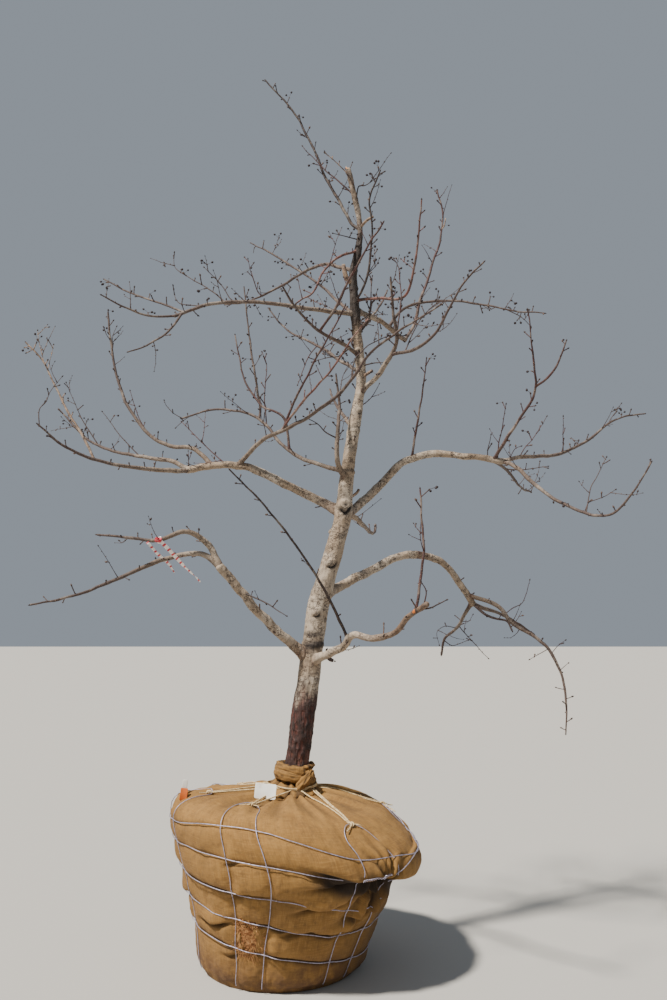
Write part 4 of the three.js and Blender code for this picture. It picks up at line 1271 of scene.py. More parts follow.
# The twisted wire at the gathers: how far it reaches to each side of them, its turns and their radius
TWIST_REACH, TWIST_TURNS, TWIST_RADIUS = (0.24, 0.03), 7, 0.0026


def turned(angle):
    """An angle between half a turn back and half a turn on."""
    return (np.asarray(angle) + math.pi) % (2 * math.pi) - math.pi


def round_spots(bearing, height):
    """Places for noise that runs round the ball without a seam."""
    return np.stack([np.cos(bearing), np.sin(bearing), height * NOISE_RISE], axis=-1)


class BallSkin:
    """The root ball's smooth skin, through the rings of its plain solid, by bearing and height."""

    def __init__(self):
        places, joined = welded("root_ball")
        foot = {i for i, place in enumerate(places) if place[2] < 1e-3}
        rings = []
        for ring in rings_from(foot, joined):
            corners = places[ring]
            middle = corners.mean(axis=0)
            bearing = np.arctan2(corners[:, 1] - middle[1], corners[:, 0] - middle[0]) + 0.1
            rings.append(corners[np.argsort(bearing % (2 * math.pi))])
        self.rings = np.array(rings)
        self.levels = self.rings[:, self.rings.shape[1] * 3 // 4, 2]
        self.knots = gone_along(self.rings)

    def at(self, bearing, height):
        """The points of the skin at bearings and heights."""
        bearing, height = np.broadcast_arrays(np.asarray(bearing, float), np.asarray(height, float))
        count = self.rings.shape[1]
        spot = (bearing % (2 * math.pi)) / (2 * math.pi) * count
        column = np.floor(spot).astype(int)
        share = (spot - column)[..., None]
        knot = np.interp(height, self.levels, self.knots)
        row = np.clip(np.searchsorted(self.knots, knot, side="right") - 1, 0, len(self.knots) - 2)
        levels = [np.clip(row + k, 0, len(self.knots) - 1) for k in (-1, 0, 1, 2)]
        before, low, high, after = (
            between(*(self.rings[level, (column + k) % count] for k in (-1, 0, 1, 2)), share)
            for level in levels
        )
        k0, k1, k2, k3 = (self.knots[level][..., None] for level in levels)
        slope_low = (high - before) / np.maximum(k2 - k0, 1e-6) * (k2 - k1)
        slope_high = (after - low) / np.maximum(k3 - k1, 1e-6) * (k2 - k1)
        t = (knot[..., None] - k1) / (k2 - k1)
        return (
            low * (2 * t**3 - 3 * t**2 + 1) + high * (3 * t**2 - 2 * t**3)
            + slope_low * (t**3 - 2 * t**2 + t) + slope_high * (t**3 - t**2)
        )

    def outward(self, bearing, height):
        """The skin's outward ways at bearings and heights."""
        turn = self.at(bearing + 0.01, height) - self.at(bearing - 0.01, height)
        heights = (np.clip(height + shift, 0, BALL_TOP) for shift in (0.004, -0.004))
        above, under = (self.at(bearing, height) for height in heights)
        way = np.cross(turn, above - under)
        return way / np.maximum(np.linalg.norm(way, axis=-1), 1e-12)[..., None]


@cache
def ball_skin():
    return BallSkin()


def ring_height(ring, bearing):
    """The height of one of the basket's rings at a bearing."""
    height, fall, sag, dip, left = BASKET_RINGS[ring]
    low = sag * hill(turned(bearing - RING_SAG_BEARING), RING_SAG_REACH)
    low = low + dip * hill(turned(bearing - RING_DIP_BEARING), RING_DIP_REACH)
    lift = left * hill(turned(bearing - RING_LEFT_BEARING), RING_LEFT_REACH)
    return height - fall * np.cos(bearing) - low - lift


def pillows(bearing, height, look):
    """How the cloth swells and slips between the rings and ribs, and the painted shade of its creases along
    them.
    """
    radius = np.linalg.norm(ball_skin().at(bearing, height)[..., :2], axis=-1)
    spots = round_spots(bearing, height)
    edges = [ring_height(ring, bearing) for ring in range(len(BASKET_RINGS))]
    edges = [np.full_like(bearing, RIB_FOOT), *edges, np.maximum(edges[-1] + 0.04, 0.672)]
    out, slip, crease_shade = (np.zeros_like(bearing) for _ in range(3))
    for band, (low, high) in enumerate(pairwise(edges)):
        share = (height - low) / np.maximum(high - low, 0.02)
        inside = (share >= 0) & (share <= 1)
        share = np.clip(share, 0, 1)
        swing = 0.68 + 0.5 * soft_noise(spots, 1.7, 100 + band) + 0.3 * soft_noise(spots, 5.0, 120 + band)
        full = look.pillow_depth * np.clip(swing, 0.12, 1.3) * (0.75 if band == 0 else 1.0)
        if band == len(edges) - 2:
            full = full * 0.55
        shape = (share**0.62) * (1 - share) ** 0.95 * 2.25
        out = out + np.where(inside, full * shape, 0)
        slip = slip + np.where(inside, full * 0.5 * (share**0.4) * (1 - share) ** 2.2, 0)
        if band > 0:
            tight = smoothstep(full / look.pillow_depth, 0.35, 1.0)
            # Painted shade in the tuck just under each wire
            crease_shade = np.maximum(crease_shade, tight * hill((height - low + 0.006) / 0.0095, 1.0))
            out = out - 0.010 * tight * hill((height - low + 0.005) / 0.008, 1.0)
    held = smoothstep(0.67 - height, 0, 0.05)
    for rib in (middle + side * LOOP_HALF for middle in LOOP_BEARINGS for side in (-1, 1)):
        gap = np.abs(turned(bearing - rib)) * radius
        out = out - (0.6 * out + 0.003) * hill(gap, 0.02) * held
    return out, slip, crease_shade, radius


def cloth_relief(bearing, height, look):
    """How far the cloth stands out and slips down, and how much painted shade its creases get."""
    out, slip, crease_shade, radius = pillows(bearing, height, look)
    spots = round_spots(bearing, height)
    folds = soft_noise(np.stack([bearing * 9 / math.pi, height * 4, height * 0], axis=-1), 1.0, 140)
    wrinkles = soft_noise(spots, (16.0, 16.0, 9.0), 150)
    out = out + 0.004 * folds + 0.0024 * wrinkles + 0.0011 * soft_noise(spots, 42.0, 160)
    # The pleats that run out from the gathers, with painted shade in their valleys
    around = turned(bearing - GATHER_BEARING) * radius
    up = height - GATHER_HEIGHT
    reach = np.hypot(around, up)
    pleat = np.cos(10.0 * np.arctan2(up, around) + 2.0 * soft_noise(spots, 4.0, 170))
    downward = np.clip(-up / np.maximum(reach, 1e-4), 0, 1)
    near = hill(reach / (1 + 1.1 * downward), 0.095) * smoothstep(reach, 0.004, 0.03)
    out = out + (0.015 + 0.009 * downward) * pleat * near - 0.03 * hill(reach, 0.032)
    crease_shade = np.maximum(crease_shade, near * np.clip(-pleat, 0, 1) * 0.95)
    # The lip that hangs over, and the cloth tucked in under it, with painted shadow under the lip
    past = turned(bearing - LIP_BEARING)
    lip = smoothstep(past, -0.75, -0.3) * (1 - smoothstep(past, 0.9, 1.4))
    down = LIP_HEIGHT - LIP_FALL * past + 0.006 * soft_noise(spots, 5.0, 175) - height
    rest = 0.09 + 0.05 * smoothstep(past, -0.2, 0.6)
    tuck = lip * smoothstep(down, -0.006, 0.016) * (1 - smoothstep(down, 0.02, rest))
    pillow = lip * smoothstep(-down, -0.004, 0.03) * smoothstep(0.62 - height, 0, 0.12)
    far = smoothstep(past, 0.1, 0.75)
    out = out + 0.02 * (1 - 1.5 * far) * pillow - 0.058 * tuck
    slip = slip + 0.024 * (1 - 0.7 * far) * lip * hill((down + 0.02) / 0.028, 1.0)
    # Painted shadow under the lip and in the valleys below the gathers
    lip_and_fold_shadow = lip * smoothstep(down, -0.006, 0.008) * (1 - smoothstep(down, 0.05, 0.112))
    lip_and_fold_shadow = np.clip(lip_and_fold_shadow * (1 + 0.7 * smoothstep(-past, 0.05, 0.3)), 0, 1)
    spot = np.stack([turned(bearing) * FOLD_RADIUS, height], axis=-1)
    for ends in SLANTED_FOLDS:
        start, end = (np.array(end) * [math.radians(FOLD_RADIUS), 1] for end in ends)
        share = np.clip((spot - start) @ (end - start) / ((end - start) @ (end - start)), 0, 1)
        off = spot - (start + share[..., None] * (end - start))
        gap = np.linalg.norm(off, axis=-1)
        out = out - 0.022 * hill(gap, 0.013) + 0.012 * hill(np.hypot(off[..., 0] - 0.022, off[..., 1]), 0.016)
        lip_and_fold_shadow = np.maximum(lip_and_fold_shadow, hill(gap, 0.0105))
    # Painted shade on the ball's lower right, under the lip
    below = smoothstep(down, -0.004, 0.012) * smoothstep(height, 0.0, 0.2)
    crease_shade = np.maximum(crease_shade, np.maximum(lip_and_fold_shadow, 0.55 * below * hill(turned(bearing + 0.3), 0.5)))
    for middle, level, half, deep in CLOTH_FOLDS:
        off = turned(bearing - math.radians(middle)) / math.radians(half)
        line = level + 0.010 * off + 0.003 * np.sin(off * 3 + level * 40)
        reach = hill(off, 1.0) ** 1.5
        out = out - deep * reach * hill((height - line) / 0.010, 1.0)
        out = out + 0.7 * deep * reach * hill((height - line - 0.032) / 0.024, 1.0)
        slip = slip + 0.7 * deep * reach * hill((height - line - 0.022) / 0.018, 1.0)
        # Painted shade along each deep fold
        dark = np.clip(deep / 0.024, 0, 1) * reach * hill((height - line + 0.003) / 0.010, 1.0)
        crease_shade = np.maximum(crease_shade, dark)
    # The lumps at the back, and the gathers round the collar, with painted shade between the gathers
    back = np.clip(np.cos(bearing - math.radians(165)), 0, 1) ** 3 * smoothstep(height, 0.58, 0.66)
    out = out + back * 0.02 * rough_noise(spots, 9.0, 185, 2) * smoothstep(0.689 - height, 0, 0.006)
    top = smoothstep(height, 0.655, 0.685)
    gathers = np.cos(19 * bearing + 3 * soft_noise(spots, 3.0, 180))
    out = out + top * (0.007 * gathers + 0.012 * soft_noise(spots, (7.0, 7.0, 3.0), 190))
    crease_shade = np.maximum(crease_shade, top * np.clip(-gathers, 0, 1) * 0.35)
    return out * smoothstep(height, 0.0, 0.03), slip * smoothstep(height, 0.03, 0.08), np.clip(crease_shade, 0, 1)


def torn_share(bearing, height):
    """1 in the torn patch of the cloth and 0 outside it, with a ragged edge."""
    radius = np.linalg.norm(ball_skin().at(bearing, height)[..., :2], axis=-1)
    around = turned(bearing - TORN_BEARING) * radius / TORN_REACH[0]
    up = (height - TORN_HEIGHT) / TORN_REACH[1]
    spots = np.stack([around, up, around * 0], axis=-1)
    ragged = 0.5 * soft_noise(spots, 1.7, 200) + 0.34 * soft_noise(spots, 4.5, 210)
    return 1 - smoothstep(np.hypot(around, up) + ragged, 0.82, 1.02)


def cloth_points(bearing, height, look):
    """The finished cloth's points, how far torn each is, and how much painted shade it gets in creases."""
    out, slip, crease_shade = cloth_relief(bearing, height, look)
    torn = torn_share(bearing, height)
    clods = 0.008 * np.abs(rough_noise(round_spots(bearing, height), 34.0, 220, 3))
    around = turned(bearing - TORN_BEARING) * 0.5
    for aside, above in TORN_HOLES:
        hole = torn * hill(np.hypot((around - aside) * 0.6, height - TORN_HEIGHT - above), 0.012)
        clods = clods - 0.014 * hole
        # Painted shade in the holes
        crease_shade = np.maximum(crease_shade, hole)
    edge = np.clip(4 * torn * (1 - torn), 0, 1)
    out = out * (1 - torn) + torn * (clods - 0.009) + 0.004 * edge
    points = ball_skin().at(bearing, height) + ball_skin().outward(bearing, height) * out[..., None]
    points = points - UP * slip[..., None]
    points[..., 2] = np.maximum(points[..., 2], 0.0)
    return points, torn, crease_shade


def cloth_piece(look, name, rows, around, along, crease_shade, replaced=(), torn=0.0, soil=0.0, inward=False):
    """A piece of the wrapping cloth, with its painted shade in creases, and how torn and soiled it is at each
    point.
    """
    cloth = bpy.data.materials.get("jute_cloth") or burlap_finish(look)
    marks = {"torn": crease_shade * 0 + torn, "crease_shade": crease_shade, "soil": crease_shade * 0 + soil}
    end_marks = {"crease_shade": (0.0, 0.0)}
    tube_piece(name, rows, around, along, cloth, replaced, marks, None, end_marks, inward)


def make_cloth(look):
    """The burlap of the ball: folds held by the wires, gathers, a torn patch and a flat underside."""
    heights = np.concatenate([
        np.linspace(0.0, CLOTH_SHOULDER, look.cloth_rows),
        CLOTH_SHOULDER + CLOTH_CROWN * np.linspace(0, 1, look.cloth_rows // 3)[1:] ** 1.4,
    ])
    points, torn, crease_shade = cloth_points(*np.meshgrid(round_turns(look.cloth_columns), heights), look)
    middle = points[-1].mean(axis=0)
    closing = [middle + (points[-1] - middle) * share + UP * 0.004 * (1 - share) for share in (0.7, 0.4)]
    under = [points[0] * np.array([share, share, 1]) for share in (0.25, 0.6, 0.9)]
    rows = np.array([*under, *points, *closing])
    blank = np.zeros(look.cloth_columns)
    torn, crease_shade = (np.vstack([blank, blank, blank, values, blank, blank]) for values in (torn, crease_shade))
    soil = (1 - smoothstep(rows[..., 2] + 0.05 * soft_noise(rows, 9.0, 230), 0.02, 0.17)) * 0.9
    cloth_piece(look, "burlap_ball", rows, BALL_WEAVE, gone_along(rows), crease_shade, ["root_ball"], torn, soil)


def over_cloth(bearing, height, look, lift, reach=3):
    """Places a little above the cloth at bearings and heights, evened out as stiff wire is."""
    bearing, height = np.broadcast_arrays(np.asarray(bearing, float), np.asarray(height, float))
    outs = [cloth_relief(bearing, height + above, look)[0] for above in (0, 0.012, 0.024)]
    out = np.maximum(outs[0], np.maximum(outs[1] * 0.95, outs[2] * 0.8))
    if out.size > 8:
        stretched = np.concatenate([out[:1].repeat(reach), out, out[-1:].repeat(reach)])
        even = np.convolve(stretched, np.full(2 * reach + 1, 1 / (2 * reach + 1)), "valid")
        out = np.maximum(even, out * 0.6 + even * 0.4)
    return ball_skin().at(bearing, height) + ball_skin().outward(bearing, height) * (out + lift)[..., None]


def make_basket(ball, look):
    """The wire basket: rings, ribs joined over the shoulder as loops, and welds where they cross."""
    bundle, skin = Bundle(), ball_skin()
    thick = look.wire_diameter / 2
    bearing = np.linspace(0, 2 * math.pi, RING_POINTS)
    for ring in range(len(BASKET_RINGS)):
        path = over_cloth(bearing, ring_height(ring, bearing), ball, thick, 6)
        path[-1] = path[0]
        bundle.add_tube(path, thick, 8)
    foot = float(np.interp(RIB_FOOT, skin.levels, skin.knots))
    upward, downward = range(RIB_POINTS), range(RIB_POINTS + ARC_POINTS, 2 * RIB_POINTS + ARC_POINTS)
    for i, (middle, top) in enumerate(zip(LOOP_BEARINGS, LOOP_TOPS)):
        spring = float(np.interp(top, skin.levels, skin.knots)) - LOOP_RISE
        up = np.linspace(foot, spring, RIB_POINTS, endpoint=False)
        arc = np.linspace(0, math.pi, ARC_POINTS)
        knots = np.concatenate([up, spring + LOOP_RISE * np.sin(arc), up[::-1]])
        side = np.concatenate([np.ones(RIB_POINTS), np.cos(arc), -np.ones(RIB_POINTS)])
        sway = 0.012 * np.sin(knots * 7 + i + side) + 0.006 * np.sin(knots * 23 + 2 * i)
        bearing = middle - LOOP_HALF * side + sway * smoothstep(knots, foot, foot + 0.1)
        heights = np.interp(knots, skin.knots, skin.levels)
        path = over_cloth(bearing, heights, ball, thick * 2.5, 8)
        bundle.add_tube(path, thick, 8)
        for ring in range(len(BASKET_RINGS)):
            for rows in (upward, downward):
                row = int(np.argmin(np.abs(heights[rows] - ring_height(ring, bearing[rows])))) + rows[0]
                spot, out = path[row], skin.outward(bearing[row], heights[row])
                weld = [spot - out * thick * 2.2, spot, spot + out * thick * 0.9]
                bundle.add_tube(weld, [thick * 0.8, thick * 1.3, thick * 0.7], 8)
    back, onward = TWIST_REACH
    bearing = np.linspace(GATHER_BEARING - back, GATHER_BEARING + onward, TWIST_POINTS)
    line = over_cloth(bearing, GATHER_HEIGHT + 0.004, ball, 0.012)
    out = skin.outward(bearing, GATHER_HEIGHT)
    for turn in (0, math.pi):
        spin = (np.linspace(0, 2 * math.pi * TWIST_TURNS, TWIST_POINTS) + turn)[:, None]
        wire = line + out * np.sin(spin) * TWIST_RADIUS + UP * np.cos(spin) * TWIST_RADIUS
        bundle.add_tube(wire, thick * 0.75, 8)
    bundle.piece("basket_wires", [wire_finish(look)], "basket_wire", ["wire_basket"])


def make_frays(look):
    """Loose jute threads round the torn patch."""
    r = random.Random(look.fray_seed)
    bundle = Bundle()
    for _ in range(look.fray_count):
        angle = r.uniform(0, 2 * math.pi)
        inner = r.uniform(0.0, 1.0) ** 0.6 * 1.5
        bearing = TORN_BEARING + math.cos(angle) * inner * TORN_REACH[0] / 0.39
        height = TORN_HEIGHT + math.sin(angle) * inner * TORN_REACH[1]
        start = ball_skin().at(bearing, height)
        out = ball_skin().outward(bearing, height)
        lift = r.uniform(0.0, 0.4)
        heading = unit(out * lift + np.array([r.uniform(-1, 1), r.uniform(-0.2, 0.2), r.uniform(-1.2, 0.8)]))
        points = [start - out * 0.004]
        step = r.uniform(0.003, 0.008)
        for _ in range(7):
            heading = unit(heading + stray(r, 1, -1.2, 0.6) * 0.45)
            points.append(points[-1] + heading * step)
        points = [point + out * max(0.0, 0.006 - float((point - start) @ out)) for point in points]
        bundle.add_tube(points, np.linspace(0.0008, 0.0004, len(points)), 4)
    bundle.piece("burlap_frays", [fray_finish()], "burlap")


# The collar, the twine, the tags and the tape

SKIRT_RINGS, SKIRT_SIDES, SKIRT_HEIGHT = 46, 200, 0.14
SKIRT_LEVELS = [
    0.0, 0.012, 0.024, 0.036, 0.05, 0.062, 0.074, 0.086, 0.097, 0.108, 0.118, 0.127, 0.134, SKIRT_HEIGHT,
]
KNOT_RINGS, KNOT_SIDES = 40, 60
WRAP_RINGS, WRAP_SIDES = 420, 36
# The heights of the wrap and of its knot, and how far out they lie, as shares of the collar's height and
# of its foot's radius; the knot's bearing, and its half sizes along, outwards and up, in metres
WRAP_HEIGHT, WRAP_REACH, KNOT_HEIGHT, KNOT_REACH = 0.6, 0.55, 0.5, 0.66
KNOT_BEARING, KNOT_SIZE = math.radians(-58), (0.027, 0.024, 0.05)
# How the wrap starts, and how flat and tall it is against its width
WRAP_START, WRAP_FLAT, WRAP_TALL = math.radians(-50), 0.78, 1.25
# The twine: the length of a strand's turn, its laps round the collar, and each knot at a loop as its
# turns and its shift outwards, with the radius and half length of its windings
TWINE_PITCH, TWINE_LAPS, LAP_POINTS = 0.022, 3, 90
LOOP_KNOTS, LOOP_KNOT_RADIUS, LOOP_KNOT_HALF, LOOP_KNOT_POINTS = [(2.5, 0.0), (1.5, 0.006)], 0.0065, 0.008, 60


def collar_middle(height):
    """The middle of the collar at a height."""
    points = tree_lines()["trunk"].points
    row = int(np.argmin(np.abs(points[:, 2] - max(height, points[0, 2]))))
    return np.array([points[row][0], points[row][1], height])


def make_collar(look):
    """Burlap gathered round the trunk's foot: a pleated skirt and a twisted wrap with its knot."""
    low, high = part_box("burlap_collar")
    turn = round_turns(SKIRT_SIDES)
    foot_radius = (high.x - low.x) / 2
    seat = low.z
    steps = np.linspace(0, 1, len(SKIRT_LEVELS))
    levels = np.interp(np.linspace(0, 1, SKIRT_RINGS), steps, SKIRT_LEVELS)
    whole = high.z - low.z
    rows, crease_shades = [], []
    for up in levels:
        share = up / SKIRT_HEIGHT
        radius = foot_radius * (1.0 - 0.5 * smoothstep(share, 0.0, 0.5) + 0.05 * smoothstep(share, 0.75, 1.0))
        waist = hill(share - 0.72, 0.13)
        spots = np.stack([np.cos(turn) * 2, np.sin(turn) * 2, np.full(SKIRT_SIDES, share)], axis=-1)
        swirl = 9 * turn + 2.6 * share + 3.4 * soft_noise(spots, 1.6, 300)
        ridge = 1 - np.abs(np.sin(swirl / 2))
        fold = (0.011 - 0.004 * waist - 0.005 * smoothstep(share, 0.8, 1)) * (ridge**1.2 - 0.4)
        fold = fold + 0.007 * rough_noise(spots, (2.2, 2.2, 3.0), 310, 2)
        level = seat + up * whole / SKIRT_HEIGHT
        slump = 0.008 * soft_noise(spots, 2.4, 320) - 0.012 * (1 + np.cos(turn + 0.9)) / 2
        out = radius - 0.008 * waist + fold
        rows.append(round_about(collar_middle(level), out, turn, level + share * slump))
        # Painted shade in the valleys of the skirt's folds
        crease_shades.append(np.clip(0.75 - ridge, 0, 0.7))
    rim = rows[-1]
    middle = rim.mean(axis=0)
    for share, drop in ((0.93, -0.006), (0.84, -0.007), (0.74, -0.002), (0.65, 0.008), (0.6, 0.024)):
        rows.append(middle + (rim - middle) * np.array([share, share, 1]) - UP * drop)
        # Painted shade in the folds at the skirt's rim
        crease_shades.append(np.clip(0.95 - ridge, 0, 0.8))
    crease_shade = np.array(crease_shades)
    cloth_piece(look, "burlap_skirt", rows, SKIRT_WEAVE, gone_along(rows), crease_shade, ["burlap_collar"])
    make_wrap(look, seat + whole * WRAP_HEIGHT, foot_radius * WRAP_REACH)
    make_knot(look, seat + whole * KNOT_HEIGHT, foot_radius * KNOT_REACH)


def make_knot(look, height, radius):
    """The folded knot of the wrap at its front right."""
    out = np.array([math.cos(KNOT_BEARING), math.sin(KNOT_BEARING), 0])
    aside = np.array([-out[1], out[0], 0])
    middle = collar_middle(height) + out * radius
    rise = np.linspace(-0.49, 0.49, KNOT_RINGS) * math.pi
    up, turn = np.meshgrid(rise, round_turns(KNOT_SIDES), indexing="ij")
    spots = np.stack([np.cos(up) * np.cos(turn), np.cos(up) * np.sin(turn), np.sin(up)], axis=-1)
    fold = 1 - np.abs(soft_noise(spots * np.array([1, 1, 0.5]), 3.2, 340))
    size = (0.66 + 0.3 * fold + 0.16 * np.abs(np.cos(2 * turn + 2.4 * up)))[..., None]
    wide, deep, tall = KNOT_SIZE
    points = (
        middle + aside * (spots[..., :1] * wide * size) + out * (spots[..., 1:2] * deep * size)
        + unit(UP + aside * 0.75) * (spots[..., 2:] * tall * size)
    )
    around, long = KNOT_WEAVE
    along = np.linspace(0, long, KNOT_RINGS)
    # Painted shade in the folds of the knot
    cloth_piece(look, "burlap_knot", points, around, along, np.clip(0.75 - fold, 0, 0.6) * 1.4, inward=True)


def make_wrap(look, height, radius):
    """The twisted end of the cloth, wound twice round the collar and knotted at the front right."""
    share = np.linspace(0, 1, WRAP_RINGS)
    turn = WRAP_START - 0.3 + share * (4 * math.pi + 0.4)
    middle = collar_middle(height)
    lift = 0.016 * np.cos(turn - math.radians(185)) + 0.046 * (share - 0.5)
    reach = radius + 0.006 - 0.009 * share + 0.003 * np.sin(turn * 1.7)
    centres = round_about(middle, reach, turn, height + lift)
    wide = 0.0172 + 0.002 * np.sin(turn * 2.3)
    across = unit_rows(centres - middle - UP * (centres[:, 2:] - middle[2]))
    other = -unit_rows(np.cross(across, np.gradient(centres, axis=0)))
    corner = round_turns(WRAP_SIDES)
    twist = np.arange(WRAP_RINGS)[:, None] * 0.045
    spots = np.stack(np.broadcast_arrays(twist * 3, np.cos(corner) * 2, np.sin(corner) * 2), axis=-1)
    ropes = 1 + 0.07 * np.cos(4 * corner[None, :] + 2 * twist) + 0.05 * np.cos(9 * corner[None, :] - twist)
    ropes = ropes + 0.16 * soft_noise(spots, 1.3, 330)
    end = np.minimum(np.arange(WRAP_RINGS), np.arange(WRAP_RINGS)[::-1])
    size = wide[:, None] * ropes * np.clip(0.25 + end / 14, 0, 1)[:, None]
    rows = (
        centres[:, None] + across[:, None] * (np.cos(corner) * size * WRAP_FLAT)[..., None]
        + other[:, None] * (np.sin(corner) * size * WRAP_TALL)[..., None]
    )
    # Painted shade between the twisted ropes of the wrap
    crease_shade = np.clip((1.0 - ropes) * 4, 0, 0.8)
    cloth_piece(look, "burlap_wrap", rows, WRAP_WEAVE, gone_along(centres), crease_shade)


def strands(bundle, path, radius, count=3):
    """Laid twine along a path: strands that wind round each other."""
    path = np.asarray(path, float)
    line = Line(path, np.full(len(path), radius), 0.004)
    _, across, other = frames_along(line.points)
    for strand in range(count):
        spin = line.places / TWINE_PITCH * 2 * math.pi + strand * 2 * math.pi / count
        off = radius * 0.52
        points = line.points + (across * np.cos(spin)[:, None] + other * np.sin(spin)[:, None]) * off
        bundle.add_tube(points, radius * 0.58, 6)


def taut(start, end, ball, lift):
    """A strand pulled tight over the ball's top: straight, but for where the cloth holds it up."""
    points = []
    levels = np.linspace(0.55, CLOTH_TOP, 120)
    for share in np.linspace(0, 1, 16):
        spot = start + (end - start) * share
        cloth, _, _ = cloth_points(np.full(len(levels), math.atan2(spot[1], spot[0])), levels, ball)
        reach = np.linalg.norm(cloth[:, :2], axis=1)[::-1]
        here = float(np.interp(math.hypot(spot[0], spot[1]), reach, cloth[::-1, 2]))
        points.append([spot[0], spot[1], max(spot[2], here + lift)])
    return np.array(points)


def make_twine(ball, look):
    """Sisal twine wound round the collar's foot and led in pairs to the loops, with knots and loose ends."""
    bundle = Bundle()
    r = random.Random(look.twine_seed)
    thick = look.twine_diameter / 2
    low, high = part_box("burlap_collar")
    height = low.z + 0.03
    middle = collar_middle(height)
    ring = (high.x - low.x) / 2 * 0.765
    turn = np.linspace(0, 2 * math.pi, LAP_POINTS)
    for lap in range(TWINE_LAPS):
        reach = ring + 0.0012 * lap + 0.003 * np.cos(turn * 5 + lap)
        level = height + (lap - 1) * look.twine_diameter * 0.85 + 0.005 * np.sin(turn * 2 + lap * 0.4)
        strands(bundle, round_about(middle, reach, turn, level), thick)
    for i, (bearing, top) in enumerate(zip(LOOP_BEARINGS, LOOP_TOPS)):
        seat = over_cloth(bearing, top - 0.001, ball, look.twine_diameter)
        across = np.array([-math.sin(bearing), math.cos(bearing), 0])
        for side in (-1, 1, 1)[: 3 if i == 1 else 2]:
            fan = bearing + side * r.uniform(0.2, 0.42)
            near = middle + np.array([math.cos(fan), math.sin(fan), 0]) * ring - UP * 0.006
            strands(bundle, taut(near, seat + across * side * 0.004, ball, thick * 1.6), thick)
        way = unit(seat - over_cloth(bearing, min(top + 0.006, 0.688), ball, 0.004))
        flat = ball_skin().outward(bearing, top)
        for turns, shift in LOOP_KNOTS:
            spin = np.linspace(0, turns * 2 * math.pi, LOOP_KNOT_POINTS)[:, None]
            sideways = np.linspace(-LOOP_KNOT_HALF, LOOP_KNOT_HALF, LOOP_KNOT_POINTS)[:, None]
            knot = seat + way * shift + across * sideways
            knot = knot + way * np.cos(spin) * LOOP_KNOT_RADIUS + flat * np.sin(spin) * LOOP_KNOT_RADIUS
            bundle.add_tube(knot, thick * 0.8, 6)
        for side in (-1, 1):
            points = [seat]
            heading = unit(way + across * side * r.uniform(0.4, 1.2))
            for _ in range(r.randrange(4, 9)):
                heading = unit(heading + stray(r, 1, -0.8, 0.4) * 0.3)
                step = heading - flat * min(0.0, float(heading @ flat)) * 0.9
                points.append(points[-1] + step * 0.01)
            strands(bundle, points, thick * 0.8, 2)
    for _ in range(look.twine_fuzz):
        shape = r.choice(bundle.vertices[:60])
        start = shape[r.randrange(len(shape) - 2)]
        heading = unit(stray(r, 1, -0.3, 1))
        points = [start + heading * 0.004 * k + np.array([0, 0, -0.0004]) * k * k for k in range(4)]
        bundle.add_tube(points, [0.0004, 0.0004, 0.0003, 0.0002], 3)
    bundle.piece("collar_twine", [twine_finish(look)], "twine", ["twine"])


def deselect_all():
    for other in list(bpy.context.selected_objects):
        other.select_set(False)


def sheet(name, *, size, cuts, curl, place, turns, materials, replaced=(), band=0.0):
    """A thin blank sheet with rounded corners: a grid, thickened, bevelled, curled, turned in degrees about
    each axis in turn and put in its place. Its second material colours it below the band."""
    wide, long, thick = size
    deselect_all()
    across, down = cuts
    bpy.ops.mesh.primitive_grid_add(x_subdivisions=across, y_subdivisions=down, size=1.0, location=(0, 0, 0))
    piece = bpy.context.object
    piece.name = piece.data.name = name
    piece.scale = (wide, long, 1)
    bpy.ops.object.transform_apply(location=False, rotation=False, scale=True)
    for vertex in piece.data.vertices:
        x, y = abs(vertex.co.x) / (wide / 2), abs(vertex.co.y) / (long / 2)
        if x > 0.99 and y > 0.99:
            vertex.co.x *= 0.94
            vertex.co.y *= 0.96
    for kind, settings in (
        ("SOLIDIFY", {"thickness": thick, "offset": 0}),
        ("BEVEL", {"width": thick * 0.25, "segments": 2, "limit_method": "ANGLE"}),
    ):
        modifier = piece.modifiers.new(kind.lower(), kind)
        for setting, value in settings.items():
            setattr(modifier, setting, value)
        bpy.ops.object.modifier_apply(modifier=modifier.name)
    bpy.ops.object.shade_smooth_by_angle(angle=math.radians(40))
    for material in materials:
        piece.data.materials.append(material)
    if len(materials) > 1:
        for face in piece.data.polygons:
            face.material_index = int(face.center.y < band)
    for vertex in piece.data.vertices:
        x, y = vertex.co.x, vertex.co.y
        spot = np.array([x * 9, y * 9, 0.0])
        vertex.co.z += curl * (x * x * 9 - y * y * 5) + 0.0022 * float(soft_noise(spot, 3.0, 350))
    matrix = Matrix.Translation(Vector(place))
    for axis, angle in turns:
        matrix = matrix @ Matrix.Rotation(math.radians(angle), 4, axis)
    piece.data.transform(matrix)
    settle(piece, replaced)


def make_card(look):
    """The blank card that lies on the ball, and the strap that ties it to the collar."""
    white = plastic_finish("card_white", look.card, paint(196, 186, 168))
    sheet(
        "blank_card", size=(0.086, 0.062, 0.0009), cuts=(14, 18), curl=0.2, place=(-0.056, -0.162, 0.72),
        turns=[("Z", 4), ("Y", 6), ("X", 62)], materials=[white], replaced=["blank_card_tag"],
    )
    sheet(
        "card_strap", size=(0.012, 0.084, 0.0008), cuts=(4, 24), curl=0.6, place=(-0.048, -0.14, 0.714),
        turns=[("Z", -24), ("X", 10)], materials=[white],
    )


